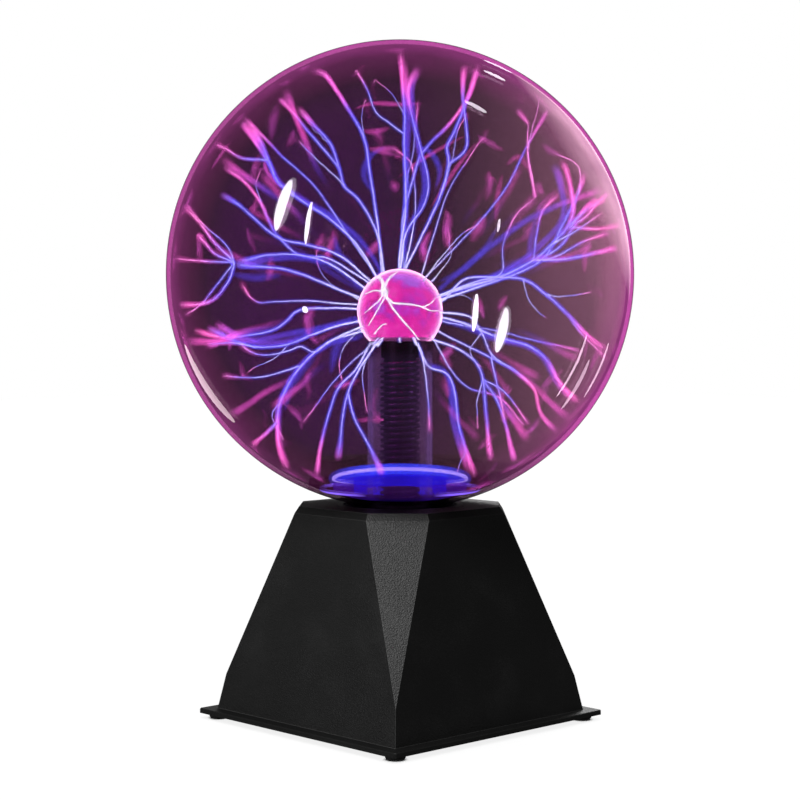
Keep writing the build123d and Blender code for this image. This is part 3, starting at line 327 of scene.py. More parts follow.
def discharge(name, strength, softness, pale):
    """The discharge's material: its mesh carries hue, cover and whiteness as red, green and blue."""
    s = Shader(name)
    carried = s.add("ShaderNodeAttribute", attribute_name="gas").outputs["Color"]
    parts = s.add("ShaderNodeSeparateColor", {0: carried}).outputs
    stops = [(share, seen(paler(colour, pale))) for share, colour in GAS_HUES]
    hue = s.ramp(s.plus(parts["Red"], s.swing(45.0, 0.16)), stops)
    hue = s.mix(parts["Blue"], hue, seen((1.0, 0.93, 1.0)))
    soft = s.maths("POWER", s.minus(1.0, s.facing()), softness)
    return s.glow(gas(s, hue, strength, s.times(soft, parts["Green"])))


def at(u, v, w):
    """A point in the globe, in globe radii: u right and v up as seen from the front, w towards the viewer."""
    size = math.sqrt(u * u + v * v + w * w)
    fit = min(1.0, WALL / size) if size else 1.0
    near = 1 - w * GLOBE_R / DISTANCE
    return GLOBE + (RIGHT * u * near + UP * v * near + TO_CAMERA * w) * (fit * GLOBE_R)


def on_glass(u, v, side):
    """The depth at which a line of sight at u, v meets the glass, on the near or the far side."""
    return side * math.sqrt(max(0.0, WALL * WALL - u * u - v * v))


def smooth_path(points, step=1.8 * mm):
    """Points at an even step along a curve through the given ones."""
    ends = [points[0] * 2 - points[1]] + points + [points[-1] * 2 - points[-2]]
    made = []
    for k in range(1, len(ends) - 2):
        a, b, c, d = ends[k - 1 : k + 3]
        count = max(2, int((c - b).length / step))
        for n in range(count):
            t = n / count
            cubic = (b * 3 - a - c * 3 + d) * t * t * t
            made.append(0.5 * (b * 2 + (c - a) * t + (a * 2 - b * 5 + c * 4 - d) * t * t + cubic))
    made.append(points[-1].copy())
    return made


def piece(name, mesh, material):
    """Turns a bmesh into a named piece that rides on the base."""
    data = bpy.data.meshes.new(name)
    mesh.to_mesh(data)
    mesh.free()
    data.materials.append(material)
    made = bpy.data.objects.new(name, data)
    scene.collection.objects.link(made)
    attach(made, "base")
    return made


def unlit(made):
    """The gas is seen, but it isn't mirrored, casts no shadow and leaves lighting to the lamps."""
    made.visible_diffuse = False
    made.visible_glossy = False
    made.visible_shadow = False
    return made


def inside_glass(place):
    """The place itself, or the nearest one inside the globe's wall."""
    out = place - GLOBE
    most = GLOBE_R * (WALL + 0.002)
    return GLOBE + out * (most / out.length) if out.length > most else place


class Gas:
    """A mesh of tubes whose points carry the discharge's hue, cover and whiteness."""

    def __init__(self, sides):
        self.mesh = bmesh.new()
        self.layer = self.mesh.verts.layers.float_color.new("gas")
        self.sides = sides

    def tube(self, path, radii, hues, covers, whites):
        rings = []
        across = None
        for k, point in enumerate(path):
            ahead = path[min(k + 1, len(path) - 1)] - path[max(k - 1, 0)]
            ahead = ahead.normalized() if ahead.length > 1e-9 else Vector((0, 0, 1))
            across = ahead.orthogonal() if across is None else across - ahead * across.dot(ahead)
            across.normalize()
            up = ahead.cross(across)
            ring = []
            for n in range(self.sides):
                turn = 2 * math.pi * n / self.sides
                place = point + (across * math.cos(turn) + up * math.sin(turn)) * radii[k]
                vertex = self.mesh.verts.new(inside_glass(place))
                vertex[self.layer] = (hues[k], covers[k], whites[k], 1)
                ring.append(vertex)
            rings.append(ring)
        for low, high in zip(rings, rings[1:]):
            for n in range(self.sides):
                m = (n + 1) % self.sides
                self.mesh.faces.new((low[n], low[m], high[m], high[n])).smooth = True
        for ring in (rings[0][::-1], rings[-1]):
            self.mesh.faces.new(ring).smooth = True


# Each streamer: brightness, the side of the glass it ends on (+1 near, -1 far), the points it passes, and
# the forks that leave it: the number of the point they leave at, brightness, side and their own points.
STREAMERS = [
    (1.0, 0.1, [
        (0.0, 0.05), (0.02, 0.27), (0.025, 0.45), (0.02, 0.61), (0.02, 0.7), (0.01, 0.85),
        (-0.005, 0.97),
    ], [
        (3, 0.8, -1, [(-0.05, 0.655), (-0.11, 0.7), (-0.145, 0.8), (-0.2, 0.9)]),
        (4, 0.35, -1, [(-0.05, 0.79), (-0.12, 0.86)]),
    ]),
    (0.95, 0.4, [
        (-0.08, 0.02), (-0.095, 0.21), (-0.13, 0.43), (-0.15, 0.57), (-0.2, 0.68), (-0.26, 0.78),
        (-0.32, 0.86), (-0.385, 0.875),
    ], [
        (3, 0.4, -1, [(-0.165, 0.68), (-0.15, 0.78)]),
    ]),
    (0.9, 0.6, [
        (-0.075, 0.02), (-0.1, 0.18), (-0.17, 0.31), (-0.24, 0.375), (-0.26, 0.44), (-0.3, 0.56),
        (-0.36, 0.635), (-0.44, 0.72),
    ], [
        (4, 0.8, 0.2, [(-0.33, 0.54), (-0.42, 0.65), (-0.52, 0.765)]),
        (3, 0.8, 1, [(-0.33, 0.46), (-0.44, 0.56)]),
        (5, 0.5, -1, [(-0.34, 0.6), (-0.4, 0.68)]),
    ]),
    (0.7, 0.5, [
        (0.0, 0.04), (0.03, 0.19), (0.1, 0.3), (0.12, 0.4), (0.09, 0.54), (0.055, 0.68),
        (0.035, 0.79), (0.07, 0.88),
    ], []),
    (0.95, 0.3, [
        (0.03, 0.04), (0.09, 0.16), (0.16, 0.31), (0.21, 0.48), (0.205, 0.55), (0.24, 0.62),
        (0.28, 0.73), (0.31, 0.82), (0.335, 0.91),
    ], [
        (3, 0.8, 0.5, [(0.28, 0.54), (0.285, 0.63), (0.265, 0.78), (0.27, 0.9)]),
        (2, 0.5, -1, [(0.2, 0.42), (0.24, 0.6), (0.29, 0.72)]),
    ]),
    (0.8, -0.6, [
        (0.0, 0.05), (0.01, 0.27), (0.05, 0.42), (0.1, 0.54), (0.21, 0.65), (0.29, 0.77),
        (0.32, 0.86),
    ], []),
    (0.75, -1, [(0.02, 0.04), (0.05, 0.18), (0.07, 0.36), (0.04, 0.5), (-0.04, 0.58)], []),
    (0.45, -1, [(0.1, 0.03), (0.2, 0.36), (0.3, 0.52), (0.375, 0.63)], []),
    (0.6, 1, [(0.12, 0.0), (0.24, 0.14), (0.345, 0.21)], []),
    (1.25, 0.1, [
        (0.2, -0.075), (0.29, -0.045), (0.43, -0.004), (0.565, 0.06), (0.645, 0.13), (0.715, 0.21),
        (0.745, 0.31), (0.725, 0.43), (0.69, 0.5),
    ], [
        (5, 0.9, 0.5, [(0.8, 0.285), (0.885, 0.335)]),
        (4, 0.9, 1, [(0.76, 0.19), (0.86, 0.26)]),
        (3, 0.9, 0.6, [(0.7, 0.07), (0.835, 0.09), (0.945, 0.11)]),
        (6, 0.7, -0.8, [(0.775, 0.4), (0.76, 0.48), (0.66, 0.53)]),
        (5, 0.8, -0.3, [(0.84, 0.2), (0.965, 0.22)]),
        (5, 0.8, -0.6, [(0.79, 0.25), (0.85, 0.32), (0.9, 0.36)]),
        (3, 0.7, -0.5, [(0.66, 0.08), (0.78, 0.145), (0.9, 0.185)]),
    ]),
    (1.0, -0.2, [
        (0.19, -0.09), (0.3, -0.06), (0.42, -0.02), (0.54, 0.03), (0.62, 0.08), (0.69, 0.2),
        (0.76, 0.33), (0.8, 0.45),
    ], [
        (4, 0.8, 0.2, [(0.7, 0.14), (0.78, 0.27), (0.85, 0.33)]),
    ]),
    (0.6, 1, [
        (0.19, -0.08), (0.32, -0.03), (0.435, 0.01), (0.44, 0.13), (0.49, 0.24), (0.585, 0.32),
    ], [
        (5, 0.7, 1, [(0.55, 0.48), (0.565, 0.62), (0.585, 0.69), (0.6, 0.77)]),
        (5, 0.7, 1, [(0.548, 0.47), (0.56, 0.6), (0.58, 0.68), (0.5, 0.71)]),
    ]),
    (0.75, -0.7, [(0.2, -0.07), (0.45, 0.01), (0.57, 0.07), (0.585, 0.16), (0.61, 0.28), (0.69, 0.36)], []),
    (1.0, 0.6, [
        (0.19, -0.1), (0.29, -0.015), (0.43, -0.005), (0.54, -0.02), (0.63, -0.085), (0.74, -0.18),
        (0.84, -0.275), (0.905, -0.33),
    ], [
        (4, 0.7, 1, [(0.7, -0.095), (0.82, -0.09)]),
        (3, 0.7, 1, [(0.57, -0.14), (0.635, -0.2)]),
        (5, 0.6, -0.5, [(0.8, -0.26), (0.89, -0.36)]),
    ]),
    (1.05, 1, [
        (0.19, -0.16), (0.3, -0.18), (0.355, -0.25), (0.4, -0.345), (0.5, -0.41), (0.585, -0.485),
    ], [
        (2, 0.7, 1, [(0.315, -0.31), (0.315, -0.37), (0.35, -0.41)]),
        (3, 0.7, 1, [(0.43, -0.5), (0.45, -0.64)]),
    ]),
    (1.0, -0.3, [
        (0.19, -0.18), (0.29, -0.205), (0.43, -0.26), (0.55, -0.3), (0.63, -0.36), (0.69, -0.46),
        (0.78, -0.55),
    ], []),
    (0.7, 0.6, [(0.4, -0.36), (0.5, -0.42), (0.58, -0.49), (0.605, -0.59), (0.685, -0.68)], []),
    (1.0, -0.6, [
        (0.15, -0.28), (0.24, -0.315), (0.32, -0.37), (0.36, -0.45), (0.375, -0.62), (0.39, -0.8),
    ], [
        (3, 0.7, -1, [(0.335, -0.55), (0.34, -0.66)]),
        (3, 0.7, -0.3, [(0.43, -0.56), (0.49, -0.8)]),
        (3, 0.7, -0.7, [(0.47, -0.51), (0.56, -0.63)]),
    ]),
    (1.0, 0.5, [
        (0.0, -0.17), (0.075, -0.28), (0.12, -0.385), (0.2, -0.425), (0.24, -0.52), (0.255, -0.64),
        (0.28, -0.75), (0.32, -0.88),
    ], [
        (6, 0.6, -0.5, [(0.24, -0.86)]),
    ]),
    (0.8, 0.8, [(0.05, -0.26), (0.095, -0.34), (0.112, -0.42), (0.12, -0.55), (0.13, -0.68)], []),
    (0.55, -1, [(0.14, -0.26), (0.22, -0.4), (0.3, -0.47), (0.43, -0.52), (0.55, -0.66)], []),
    (1.05, 0.7, [
        (-0.1, 0.0), (-0.195, 0.145), (-0.3, 0.24), (-0.385, 0.295), (-0.45, 0.34), (-0.52, 0.4),
        (-0.56, 0.49), (-0.6, 0.57), (-0.665, 0.665),
    ], [
        (6, 0.8, 0.3, [(-0.67, 0.5), (-0.74, 0.54), (-0.8, 0.575)]),
        (5, 0.7, 0.2, [(-0.575, 0.5), (-0.63, 0.58), (-0.68, 0.66)]),
    ]),
    (0.95, 0.6, [
        (-0.14, -0.01), (-0.25, 0.08), (-0.41, 0.13), (-0.52, 0.16), (-0.62, 0.23), (-0.7, 0.295),
        (-0.775, 0.34),
    ], []),
    (0.75, -0.5, [
        (-0.15, -0.02), (-0.3, 0.07), (-0.44, 0.09), (-0.535, 0.185), (-0.6, 0.31), (-0.67, 0.4),
        (-0.765, 0.47),
    ], [
        (4, 0.6, -0.9, [(-0.62, 0.4), (-0.6, 0.47)]),
    ]),
    (0.95, 0.4, [
        (-0.17, -0.04), (-0.3, 0.05), (-0.45, 0.09), (-0.59, 0.08), (-0.715, 0.036),
    ], [
        (4, 0.7, -0.4, [(-0.75, 0.12), (-0.83, 0.2), (-0.92, 0.31)]),
    ]),
    (1.05, 0.3, [
        (-0.19, -0.09), (-0.3, -0.045), (-0.41, -0.005), (-0.52, 0.025), (-0.63, 0.03),
        (-0.715, 0.034),
    ], [
        (5, 0.9, 0.5, [(-0.79, 0.13), (-0.85, 0.22), (-0.925, 0.3)]),
        (5, 0.8, 0.8, [(-0.8, 0.085), (-0.865, 0.17)]),
        (5, 0.8, 0.2, [(-0.85, 0.055), (-0.965, 0.075)]),
        (5, 0.9, 0.6, [(-0.745, -0.045), (-0.82, -0.115), (-0.955, -0.125)]),
        (5, 0.6, -0.3, [(-0.84, -0.1), (-0.93, -0.165)]),
    ]),
    (1.0, -0.3, [
        (-0.2, -0.145), (-0.3, -0.14), (-0.43, -0.145), (-0.49, -0.195), (-0.56, -0.235),
        (-0.66, -0.255), (-0.77, -0.26), (-0.89, -0.23),
    ], []),
    (1.0, 0.2, [
        (-0.19, -0.2), (-0.28, -0.22), (-0.385, -0.255), (-0.49, -0.29), (-0.62, -0.3),
        (-0.725, -0.275), (-0.84, -0.22),
    ], [
        (4, 0.7, 0.6, [(-0.72, -0.29), (-0.83, -0.3)]),
        (3, 0.6, -0.8, [(-0.56, -0.36), (-0.66, -0.41)]),
    ]),
    (0.75, 0.8, [(-0.2, -0.12), (-0.385, -0.115), (-0.52, -0.115), (-0.62, -0.12), (-0.68, -0.04)], []),
    (1.0, 1, [
        (-0.17, -0.225), (-0.3, -0.29), (-0.37, -0.33), (-0.43, -0.31), (-0.48, -0.33),
        (-0.56, -0.35), (-0.64, -0.335), (-0.7, -0.3),
    ], []),
    (1.1, 0.5, [
        (-0.16, -0.24), (-0.27, -0.27), (-0.37, -0.335), (-0.43, -0.4), (-0.48, -0.465),
        (-0.52, -0.545), (-0.53, -0.63), (-0.515, -0.74), (-0.475, -0.84),
    ], [
        (6, 0.8, 0.4, [(-0.575, -0.68), (-0.63, -0.735)]),
        (3, 0.8, 1, [(-0.52, -0.425), (-0.63, -0.45), (-0.765, -0.445)]),
        (5, 0.6, -0.7, [(-0.55, -0.6), (-0.5, -0.7)]),
    ]),
    (1.1, 0.7, [
        (-0.075, -0.27), (-0.13, -0.33), (-0.18, -0.41), (-0.22, -0.505), (-0.245, -0.615),
        (-0.255, -0.72), (-0.265, -0.81),
    ], [
        (3, 0.8, 0.8, [(-0.19, -0.62), (-0.13, -0.75), (-0.085, -0.87)]),
    ]),
    (0.9, -0.6, [
        (-0.13, -0.29), (-0.19, -0.4), (-0.265, -0.48), (-0.305, -0.59), (-0.34, -0.72),
        (-0.36, -0.86),
    ], []),
    (0.6, -1, [(-0.12, -0.3), (-0.16, -0.42), (-0.155, -0.5), (-0.13, -0.58)], []),
    (0.6, -1, [(-0.17, -0.22), (-0.26, -0.34), (-0.24, -0.46)], []),
    (0.5, -1, [(0.19, -0.08), (0.28, -0.08), (0.36, -0.14)], []),
    (0.5, -1, [(-0.18, -0.1), (-0.34, 0.02), (-0.36, 0.13)], []),
    (0.5, -1, [(0.16, 0.0), (0.22, 0.1), (0.2, 0.22)], []),
]

# Places where short streamers meet the near or far glass, away from the outline: u, v, side.
TIPS = [
    (-0.415, -0.60, 1), (-0.56, -0.58, 1), (-0.74, -0.60, 0.7), (-0.86, -0.31, 0.6), (-0.40, -0.20, 1),
    (-0.77, -0.24, -1), (0.19, -0.33, -1), (0.20, -0.51, 1), (0.335, -0.72, 1), (0.48, -0.49, -1),
    (0.61, -0.46, 1), (0.79, -0.36, 0.9), (0.40, 0.44, -1), (0.62, 0.42, -1), (0.585, 0.32, 1),
    (0.57, 0.20, -1), (0.52, 0.45, 1), (-0.59, 0.42, 1), (-0.77, 0.50, 0.7), (-0.10, 0.16, -1),
    (0.09, 0.14, -1), (-0.22, 0.36, -1), (0.22, 0.56, -1), (-0.10, 0.66, -1), (-0.80, 0.10, 0.9),
    (-0.58, 0.05, -1), (0.76, 0.07, 1), (0.85, 0.16, -1), (0.44, -0.12, -1), (-0.32, -0.44, -1),
    (0.74, -0.62, 0.4), (0.56, -0.72, 0.5), (-0.66, 0.30, -1), (-0.50, 0.80, -0.2), (-0.02, 0.40, -1),
]

rng = random.Random(7)


def push(place):
    """A smooth made-up shove for a place, the same on every run."""
    apart = [Vector((step, 2.3 * step, -1.7 * step)) for step in (0.0, 31.7, 67.3)]
    return Vector([noise.noise(place + away) for away in apart])


def wander(point, seed, size):
    """Small sideways bends, like a discharge's."""
    broad = push(point * 38 + Vector((seed, seed * 1.7, -seed)))
    fine = push(point * 170 + Vector((-seed, seed, seed * 0.6)))
    return point + (broad * 1.5 + fine * 0.22) * size


def ease(low, high, value):
    """0 below low, 1 above high, and smooth between."""
    t = min(1.0, max(0.0, (value - low) / (high - low)))
    return t * t * (3 - 2 * t)


def depth_points(flat, start_w, end_w):
    """Puts depth on flat points, growing with the distance covered."""
    lengths = [0.0]
    for a, b in zip(flat, flat[1:]):
        lengths.append(lengths[-1] + math.hypot(b[0] - a[0], b[1] - a[1]))
    total = lengths[-1] or 1.0
    return [(u, v, start_w + (end_w - start_w) * (far / total) ** 1.25) for (u, v), far in zip(flat, lengths)]


def root_on_bulb(first):
    """The point on the electrode's glass nearest to the streamer's first point."""
    return BULB + (first - BULB).normalized() * (BULB_R + 0.3 * mm)


def far_out(point):
    """How far out a point is, in globe radii."""
    return (point - GLOBE).length / GLOBE_R


core, halo, blur = Gas(6), Gas(10), Gas(10)


def tip_claws(tip, coming, bright):
    """Where a streamer meets the glass it may spread in one or two short soft arms."""
    outward = (tip - GLOBE).normalized()
    onward = coming - outward * coming.dot(outward)
    vertical = UP - outward * UP.dot(outward)
    if onward.length < 0.35 or rng.random() < 0.3:
        onward = vertical * rng.choice((1, -1)) + onward * 0.4
    onward.normalize()
    sideways = outward.cross(onward)
    for arm in range(rng.choice((0, 1, 1, 2))):
        angle = rng.uniform(-0.7, 0.7) + (math.pi * 0.9 if arm else 0)
        reach = rng.uniform(7, 17) * mm
        steps = 8
        crawl = []
        for k in range(steps):
            angle += rng.uniform(-0.12, 0.12)
            along = reach * (k / (steps - 1) - 0.25)
            move = (onward * math.cos(angle) + sideways * math.sin(angle)) * along
            crawl.append(GLOBE + (tip + move - GLOBE).normalized() * GLOBE_R * WALL)
        wide = rng.uniform(2.0, 3.4) * mm
        body = [math.sin(math.pi * (k + 0.7) / (steps + 0.4)) for k in range(steps)]
        radii = [wide * b**0.8 for b in body]
        covers = [0.14 * bright * b * (1 - 0.5 * k / steps) for k, b in enumerate(body)]
        hues = [0.90 + 0.08 * k / steps for k in range(steps)]
        blur.tube(crawl, radii, hues, covers, [0.0] * steps)
        blur.tube(crawl, [r * 0.5 for r in radii], hues, [c * 1.2 for c in covers], [0.06] * steps)


# How a streamer is at one of its points, each from 0 to 1: the share of its length behind it, how near the
# electrode it is, how pink, how far out, how near its end, and how much of it has not faded.
Row = collections.namedtuple("Row", "share bulb pink out end fade")


def streamer(path, bright, rooted, pink_from, blurred=False, faint_start=False):
    """One filament: a thin bright core in a soft halo that turns pink and flares as it nears the glass."""
    count = len(path)
    long = sum((b - a).length for a, b in zip(path, path[1:]))
    flare = min(0.5, rng.uniform(13, 22) * mm / long)
    turn = rng.uniform(-0.06, 0.05) + pink_from
    rows = []
    for k, point in enumerate(path):
        share = k / (count - 1)
        far = far_out(point)
        bulb = 1 - ease(0.19, 0.50, (point - BULB).length / GLOBE_R) if rooted else 0.0
        pink = ease(turn, turn + 0.2, far)
        out = ease(0.25, 0.65, far)
        end = ease(1 - flare, 1.0, share)
        fade = 1 - ease(0.90, 1.0, share)
        if faint_start:
            fade *= ease(0.45, 0.85, share)
        rows.append(Row(share, bulb, pink, out, end, fade))
    if not blurred:
        core.tube(
            path,
            [(0.15 + 0.19 * bright) * mm * (1 + 0.35 * r.bulb - 0.3 * r.share + 0.5 * r.end) for r in rows],
            [0.16 + 0.10 * r.out + 0.66 * r.pink for r in rows],
            [min(1.0, 0.55 + 0.45 * bright) * r.fade * (1 - 0.55 * r.end) for r in rows],
            [0.25 * bright * (1 - r.share) + 0.35 * r.bulb for r in rows],
        )
    target, spread, tinge = (blur, 2.0, 0.08) if blurred else (halo, 0.85, 0)
    target.tube(
        path,
        [(spread + 0.55 * bright) * mm * (1 - 0.2 * r.bulb) + 0.85 * mm * r.end ** 2 for r in rows],
        [0.46 + 0.12 * r.out + (0.34 + 0.05 * bright) * r.pink + tinge * (1 - r.pink) for r in rows],
        [(0.13 + 0.17 * bright) * r.fade * (1 + 0.7 * r.end) * (1 - 0.35 * r.bulb) for r in rows],
        [0.03 * r.end for r in rows],
    )
    if far_out(path[-1]) > 0.9:
        tip_claws(path[-1], (path[-1] - path[-4]).normalized(), min(1.0, 0.45 + 0.5 * bright))


for number, (bright, side, flat, forks) in enumerate(STREAMERS):
    tip_w = on_glass(*flat[-1], side)
    deep = depth_points(flat, tip_w * 0.12, tip_w)
    solid = [at(*p) for p in deep]
    solid.insert(0, root_on_bulb(solid[0]))
    path = [wander(p, number * 3.1, 0.8 * mm) for p in smooth_path(solid)]
    path[0] = solid[0]
    streamer(path, bright, True, 0.70 if bright > 0.85 else 0.58)
    if number % 3 == 0:
        shifted = [p + push(p * 14 + Vector((number, 0.5, 0.3))) * 5 * mm - TO_CAMERA * 4 * mm for p in path]
        shifted[0] = path[0]
        streamer(shifted, 0.45, True, 0.72, blurred=True)
    for leave, fork_bright, fork_side, fork_flat in forks:
        joint = min(range(len(path)), key=lambda k: (path[k] - solid[leave + 1]).length)
        start = deep[leave]
        end_w = on_glass(*fork_flat[-1], fork_side)
        fork_deep = depth_points([start[:2]] + fork_flat, start[2], end_w)[1:]
        fork_solid = [path[joint].copy()] + [at(*p) for p in fork_deep]
        fork_path = [wander(p, number * 3.1, 0.8 * mm) for p in smooth_path(fork_solid)]
        fork_path[0] = path[joint].copy()
        streamer(fork_path, bright * fork_bright, False, 0.72)

for number, (u, v, side) in enumerate(TIPS):
    w = on_glass(u, v, side)
    tip = at(u, v, w)
    root = root_on_bulb(tip)
    bend = Vector((rng.uniform(-1, 1), rng.uniform(-1, 1), rng.uniform(-0.4, 1))) * 7 * mm
    path = [wander(p, 200 + number, 1.2 * mm) for p in smooth_path([root, root.lerp(tip, 0.5) + bend, tip])]
    streamer(path, 0.5, True, 0.6, blurred=True, faint_start=True)

for number in range(12):
    turn = rng.uniform(0, 2 * math.pi)
    lift = rng.uniform(-0.75, 0.9)
    flat_r = math.sqrt(1 - lift * lift)
    way = (RIGHT * math.cos(turn) * flat_r) + (TO_CAMERA * -abs(math.sin(turn)) * flat_r) + UP * lift
    tip = GLOBE + way.normalized() * GLOBE_R * WALL
    root = root_on_bulb(tip)
    bend = Vector((rng.uniform(-1, 1), rng.uniform(-1, 1), rng.uniform(-0.6, 1))) * 12 * mm
    path = [wander(p, 300 + number, 1.2 * mm) for p in smooth_path([root, root.lerp(tip, 0.45) + bend, tip])]
    streamer(path, rng.uniform(0.25, 0.5), True, 0.7, blurred=number % 2 == 0)


# Soft strokes that belong to no streamer: hue, half width in mm, cover, depth and points.
SMUDGES = [
    (0.97, 1.8, 0.13, -0.4, [(-0.20, 0.72), (-0.12, 0.745), (0.0, 0.742), (0.10, 0.745)]),
    (0.97, 2.2, 0.11, -0.4, [(-0.17, 0.63), (-0.10, 0.625), (-0.04, 0.645)]),
    (0.90, 3.6, 0.07, -0.3, [(-0.545, 0.80), (-0.54, 0.70), (-0.555, 0.58)]),
    (0.95, 1.6, 0.10, -0.5, [(-0.01, 0.43), (0.08, 0.50), (0.20, 0.57), (0.28, 0.61)]),
    (0.95, 1.8, 0.10, -0.5, [(0.13, 0.30), (0.24, 0.47), (0.33, 0.585)]),
    (0.97, 2.4, 0.09, -0.5, [(0.45, 0.48), (0.51, 0.52), (0.56, 0.45)]),
    (0.97, 2.4, 0.09, -0.5, [(0.41, 0.24), (0.42, 0.36), (0.44, 0.45)]),
    (0.90, 1.6, 0.16, -0.2, [(-0.50, 0.37), (-0.57, 0.45), (-0.585, 0.52)]),
    (0.97, 2.6, 0.10, -0.4, [(0.02, -0.62), (-0.10, -0.61), (-0.20, -0.615)]),
    # Painted reflection: these two blue strokes make a ring, the neck's blue ring mirrored in the glass above
    # the electrode.
    (0.55, 2.6, 0.15, -0.5, [(-0.115, 0.36), (-0.155, 0.44), (-0.13, 0.52), (-0.06, 0.565)]),
    (0.55, 2.4, 0.14, -0.5, [(0.05, 0.575), (0.13, 0.54), (0.17, 0.46), (0.15, 0.38)]),
    (0.55, 2.6, 0.12, -0.4, [(-0.19, 0.06), (-0.26, 0.10), (-0.285, 0.19)]),
    (0.55, 3.0, 0.11, -0.4, [(-0.74, 0.02), (-0.62, 0.00), (-0.50, 0.015)]),
    (0.50, 2.6, 0.10, -0.4, [(0.16, -0.02), (0.26, 0.03), (0.36, 0.12), (0.42, 0.22)]),
    (0.55, 3.4, 0.12, -0.3, [(-0.20, -0.22), (-0.27, -0.30), (-0.30, -0.42)]),
    (0.55, 3.0, 0.11, -0.3, [(-0.36, -0.34), (-0.46, -0.45), (-0.50, -0.58)]),
]
for hue, wide, cover, depth, points in SMUDGES:
    path = smooth_path([at(u, v, depth) for u, v in points])
    swell = [math.sin(math.pi * (k + 0.5) / len(path)) ** 0.6 for k in range(len(path))]
    flat_hue, no_white = [hue] * len(path), [0.0] * len(path)
    blur.tube(path, [wide * mm * b for b in swell], flat_hue, [cover * b for b in swell], no_white)


def on_bulb(u, v):
    """A point just off the electrode's front, at u, v in globe radii as seen from the front."""
    flat = RIGHT * u * GLOBE_R + UP * (GLOBE.z + v * GLOBE_R - BULB.z)
    if flat.length > GLOW_R * 0.98:
        flat = flat.normalized() * GLOW_R * 0.98
    return BULB + flat + TO_CAMERA * math.sqrt(GLOW_R * GLOW_R - flat.length_squared)


# Bright filaments that crawl over the electrode's front from one hot spot: width and points.
HUB = (-0.066, -0.072)
CRAWLERS = [
    (1.15, [(-0.090, -0.005), (-0.072, -0.035), HUB, (-0.052, -0.100), (-0.035, -0.112)]),
    (0.75, [HUB, (-0.060, -0.040), (-0.045, -0.012), (-0.010, 0.018)]),
    (0.60, [(-0.052, -0.100), (-0.030, -0.118), (0.010, -0.121), (0.060, -0.126), (0.095, -0.135)]),
    (0.55, [(-0.052, -0.100), (-0.030, -0.140), (0.010, -0.190), (0.050, -0.235), (0.080, -0.275)]),
    (0.45, [HUB, (-0.090, -0.110), (-0.120, -0.135), (-0.150, -0.160)]),
    (0.40, [(-0.060, -0.090), (-0.085, -0.130), (-0.110, -0.175), (-0.135, -0.215)]),
    (0.45, [HUB, (-0.110, -0.065), (-0.150, -0.080)]),
    (0.40, [(0.095, -0.135), (0.130, -0.120), (0.150, -0.095)]),
    (0.40, [(0.095, -0.135), (0.130, -0.150), (0.170, -0.150)]),
    (0.40, [(-0.110, -0.250), (-0.080, -0.215), (-0.055, -0.205)]),
]
for wide, points in CRAWLERS:
    path = smooth_path([on_bulb(u, v) for u, v in points], 0.9 * mm)
    count = len(path)
    taper = [1 - 0.45 * k / (count - 1) for k in range(count)]
    core.tube(path, [wide * 0.85 * mm * t for t in taper], [0.05] * count, [0.95] * count, [0.8] * count)
    halo.tube(path, [wide * 2.0 * mm * t for t in taper], [0.8] * count, [0.15] * count, [0.35] * count)

# The hot spot: how far above the hub each ring is, and the core's and the halo's radius there, in mm.
SPOT = [
    (3.2, 0.3, 1.0), (2.0, 1.0, 2.4), (0.8, 1.5, 3.2),
    (-0.4, 1.6, 3.2), (-1.6, 1.1, 2.4), (-2.8, 0.3, 1.0),
]
rises, thin, thick = zip(*SPOT)
spot = [on_bulb(*HUB) + UP * rise * mm + RIGHT * (-0.25 * rise) * mm for rise in rises]
count = len(SPOT)
core.tube(spot, [radius * mm for radius in thin], [0.0] * count, [1.0] * count, [0.95] * count)
halo.tube(spot, [radius * mm for radius in thick], [0.2] * count, [0.3] * count, [0.5] * count)

for name, tubes, *look in (
    ("streamer_core", core, 1.4, 0.5, 0.16),
    ("streamer_halo", halo, 1.75, 3.4, 0.03),
    ("streamer_blur", blur, 1.6, 5.5, 0.03),
):
    unlit(piece(name + "s", tubes.mesh, discharge(name, *look)))

# ---------------------------------------------------------------- electrode and stem


def lathe(name, profile, material, sides=96):
    """A surface of revolution about the globe's axis, from (radius, height) pairs."""
    mesh = bmesh.new()
    turns = [2 * math.pi * n / sides for n in range(sides)]
    rings = []
    for radius, height in profile:
        places = [Vector((radius * math.cos(turn), radius * math.sin(turn), height)) for turn in turns]
        rings.append([mesh.verts.new(place) for place in places])
    for low, high in zip(rings, rings[1:]):
        for n in range(sides):
            m = (n + 1) % sides
            mesh.faces.new((low[n], low[m], high[m], high[n])).smooth = True
    bmesh.ops.remove_doubles(mesh, verts=mesh.verts, dist=1e-6)
    bmesh.ops.recalc_face_normals(mesh, faces=mesh.faces)
    return piece(name, mesh, material)


def arc(radius, low, high, count, centre):
    """(radius, height) pairs on a circle, from one elevation to another in degrees."""
    made = []
    for k in range(count + 1):
        lift = math.radians(low + (high - low) * k / count)
        made.append((max(0.0, radius * math.cos(lift)), centre + radius * math.sin(lift)))
    return made


s = Shader("electrode_plasma")
cloud = s.times(s.noise(75.0, 3.0, 0.6), 0.6)
mottled = s.plus(cloud, s.times(s.noise(34.0, 1.0, 0.5), 0.4))
hue = s.ramp(mottled, [
    (0.40, (0.42, 0.16, 0.90)), (0.45, (0.60, 0.05, 0.68)), (0.49, (0.74, 0.015, 0.40)),
    (0.54, (0.90, 0.03, 0.50)), (0.60, (1.0, 0.09, 0.62)), (0.70, (1.0, 0.35, 0.80)),
])
rim = s.ramp(s.facing(), [(0.5, (0, 0, 0)), (0.8, (0.5, 0.10, 0.40)), (1.0, (1, 0.65, 1))])
light = s.add("ShaderNodeEmission", {"Color": s.mix(1.0, hue, rim, "ADD"), "Strength": 0.85 * GAIN})
paint("electrode_core", s.glow(light.outputs["Emission"]))

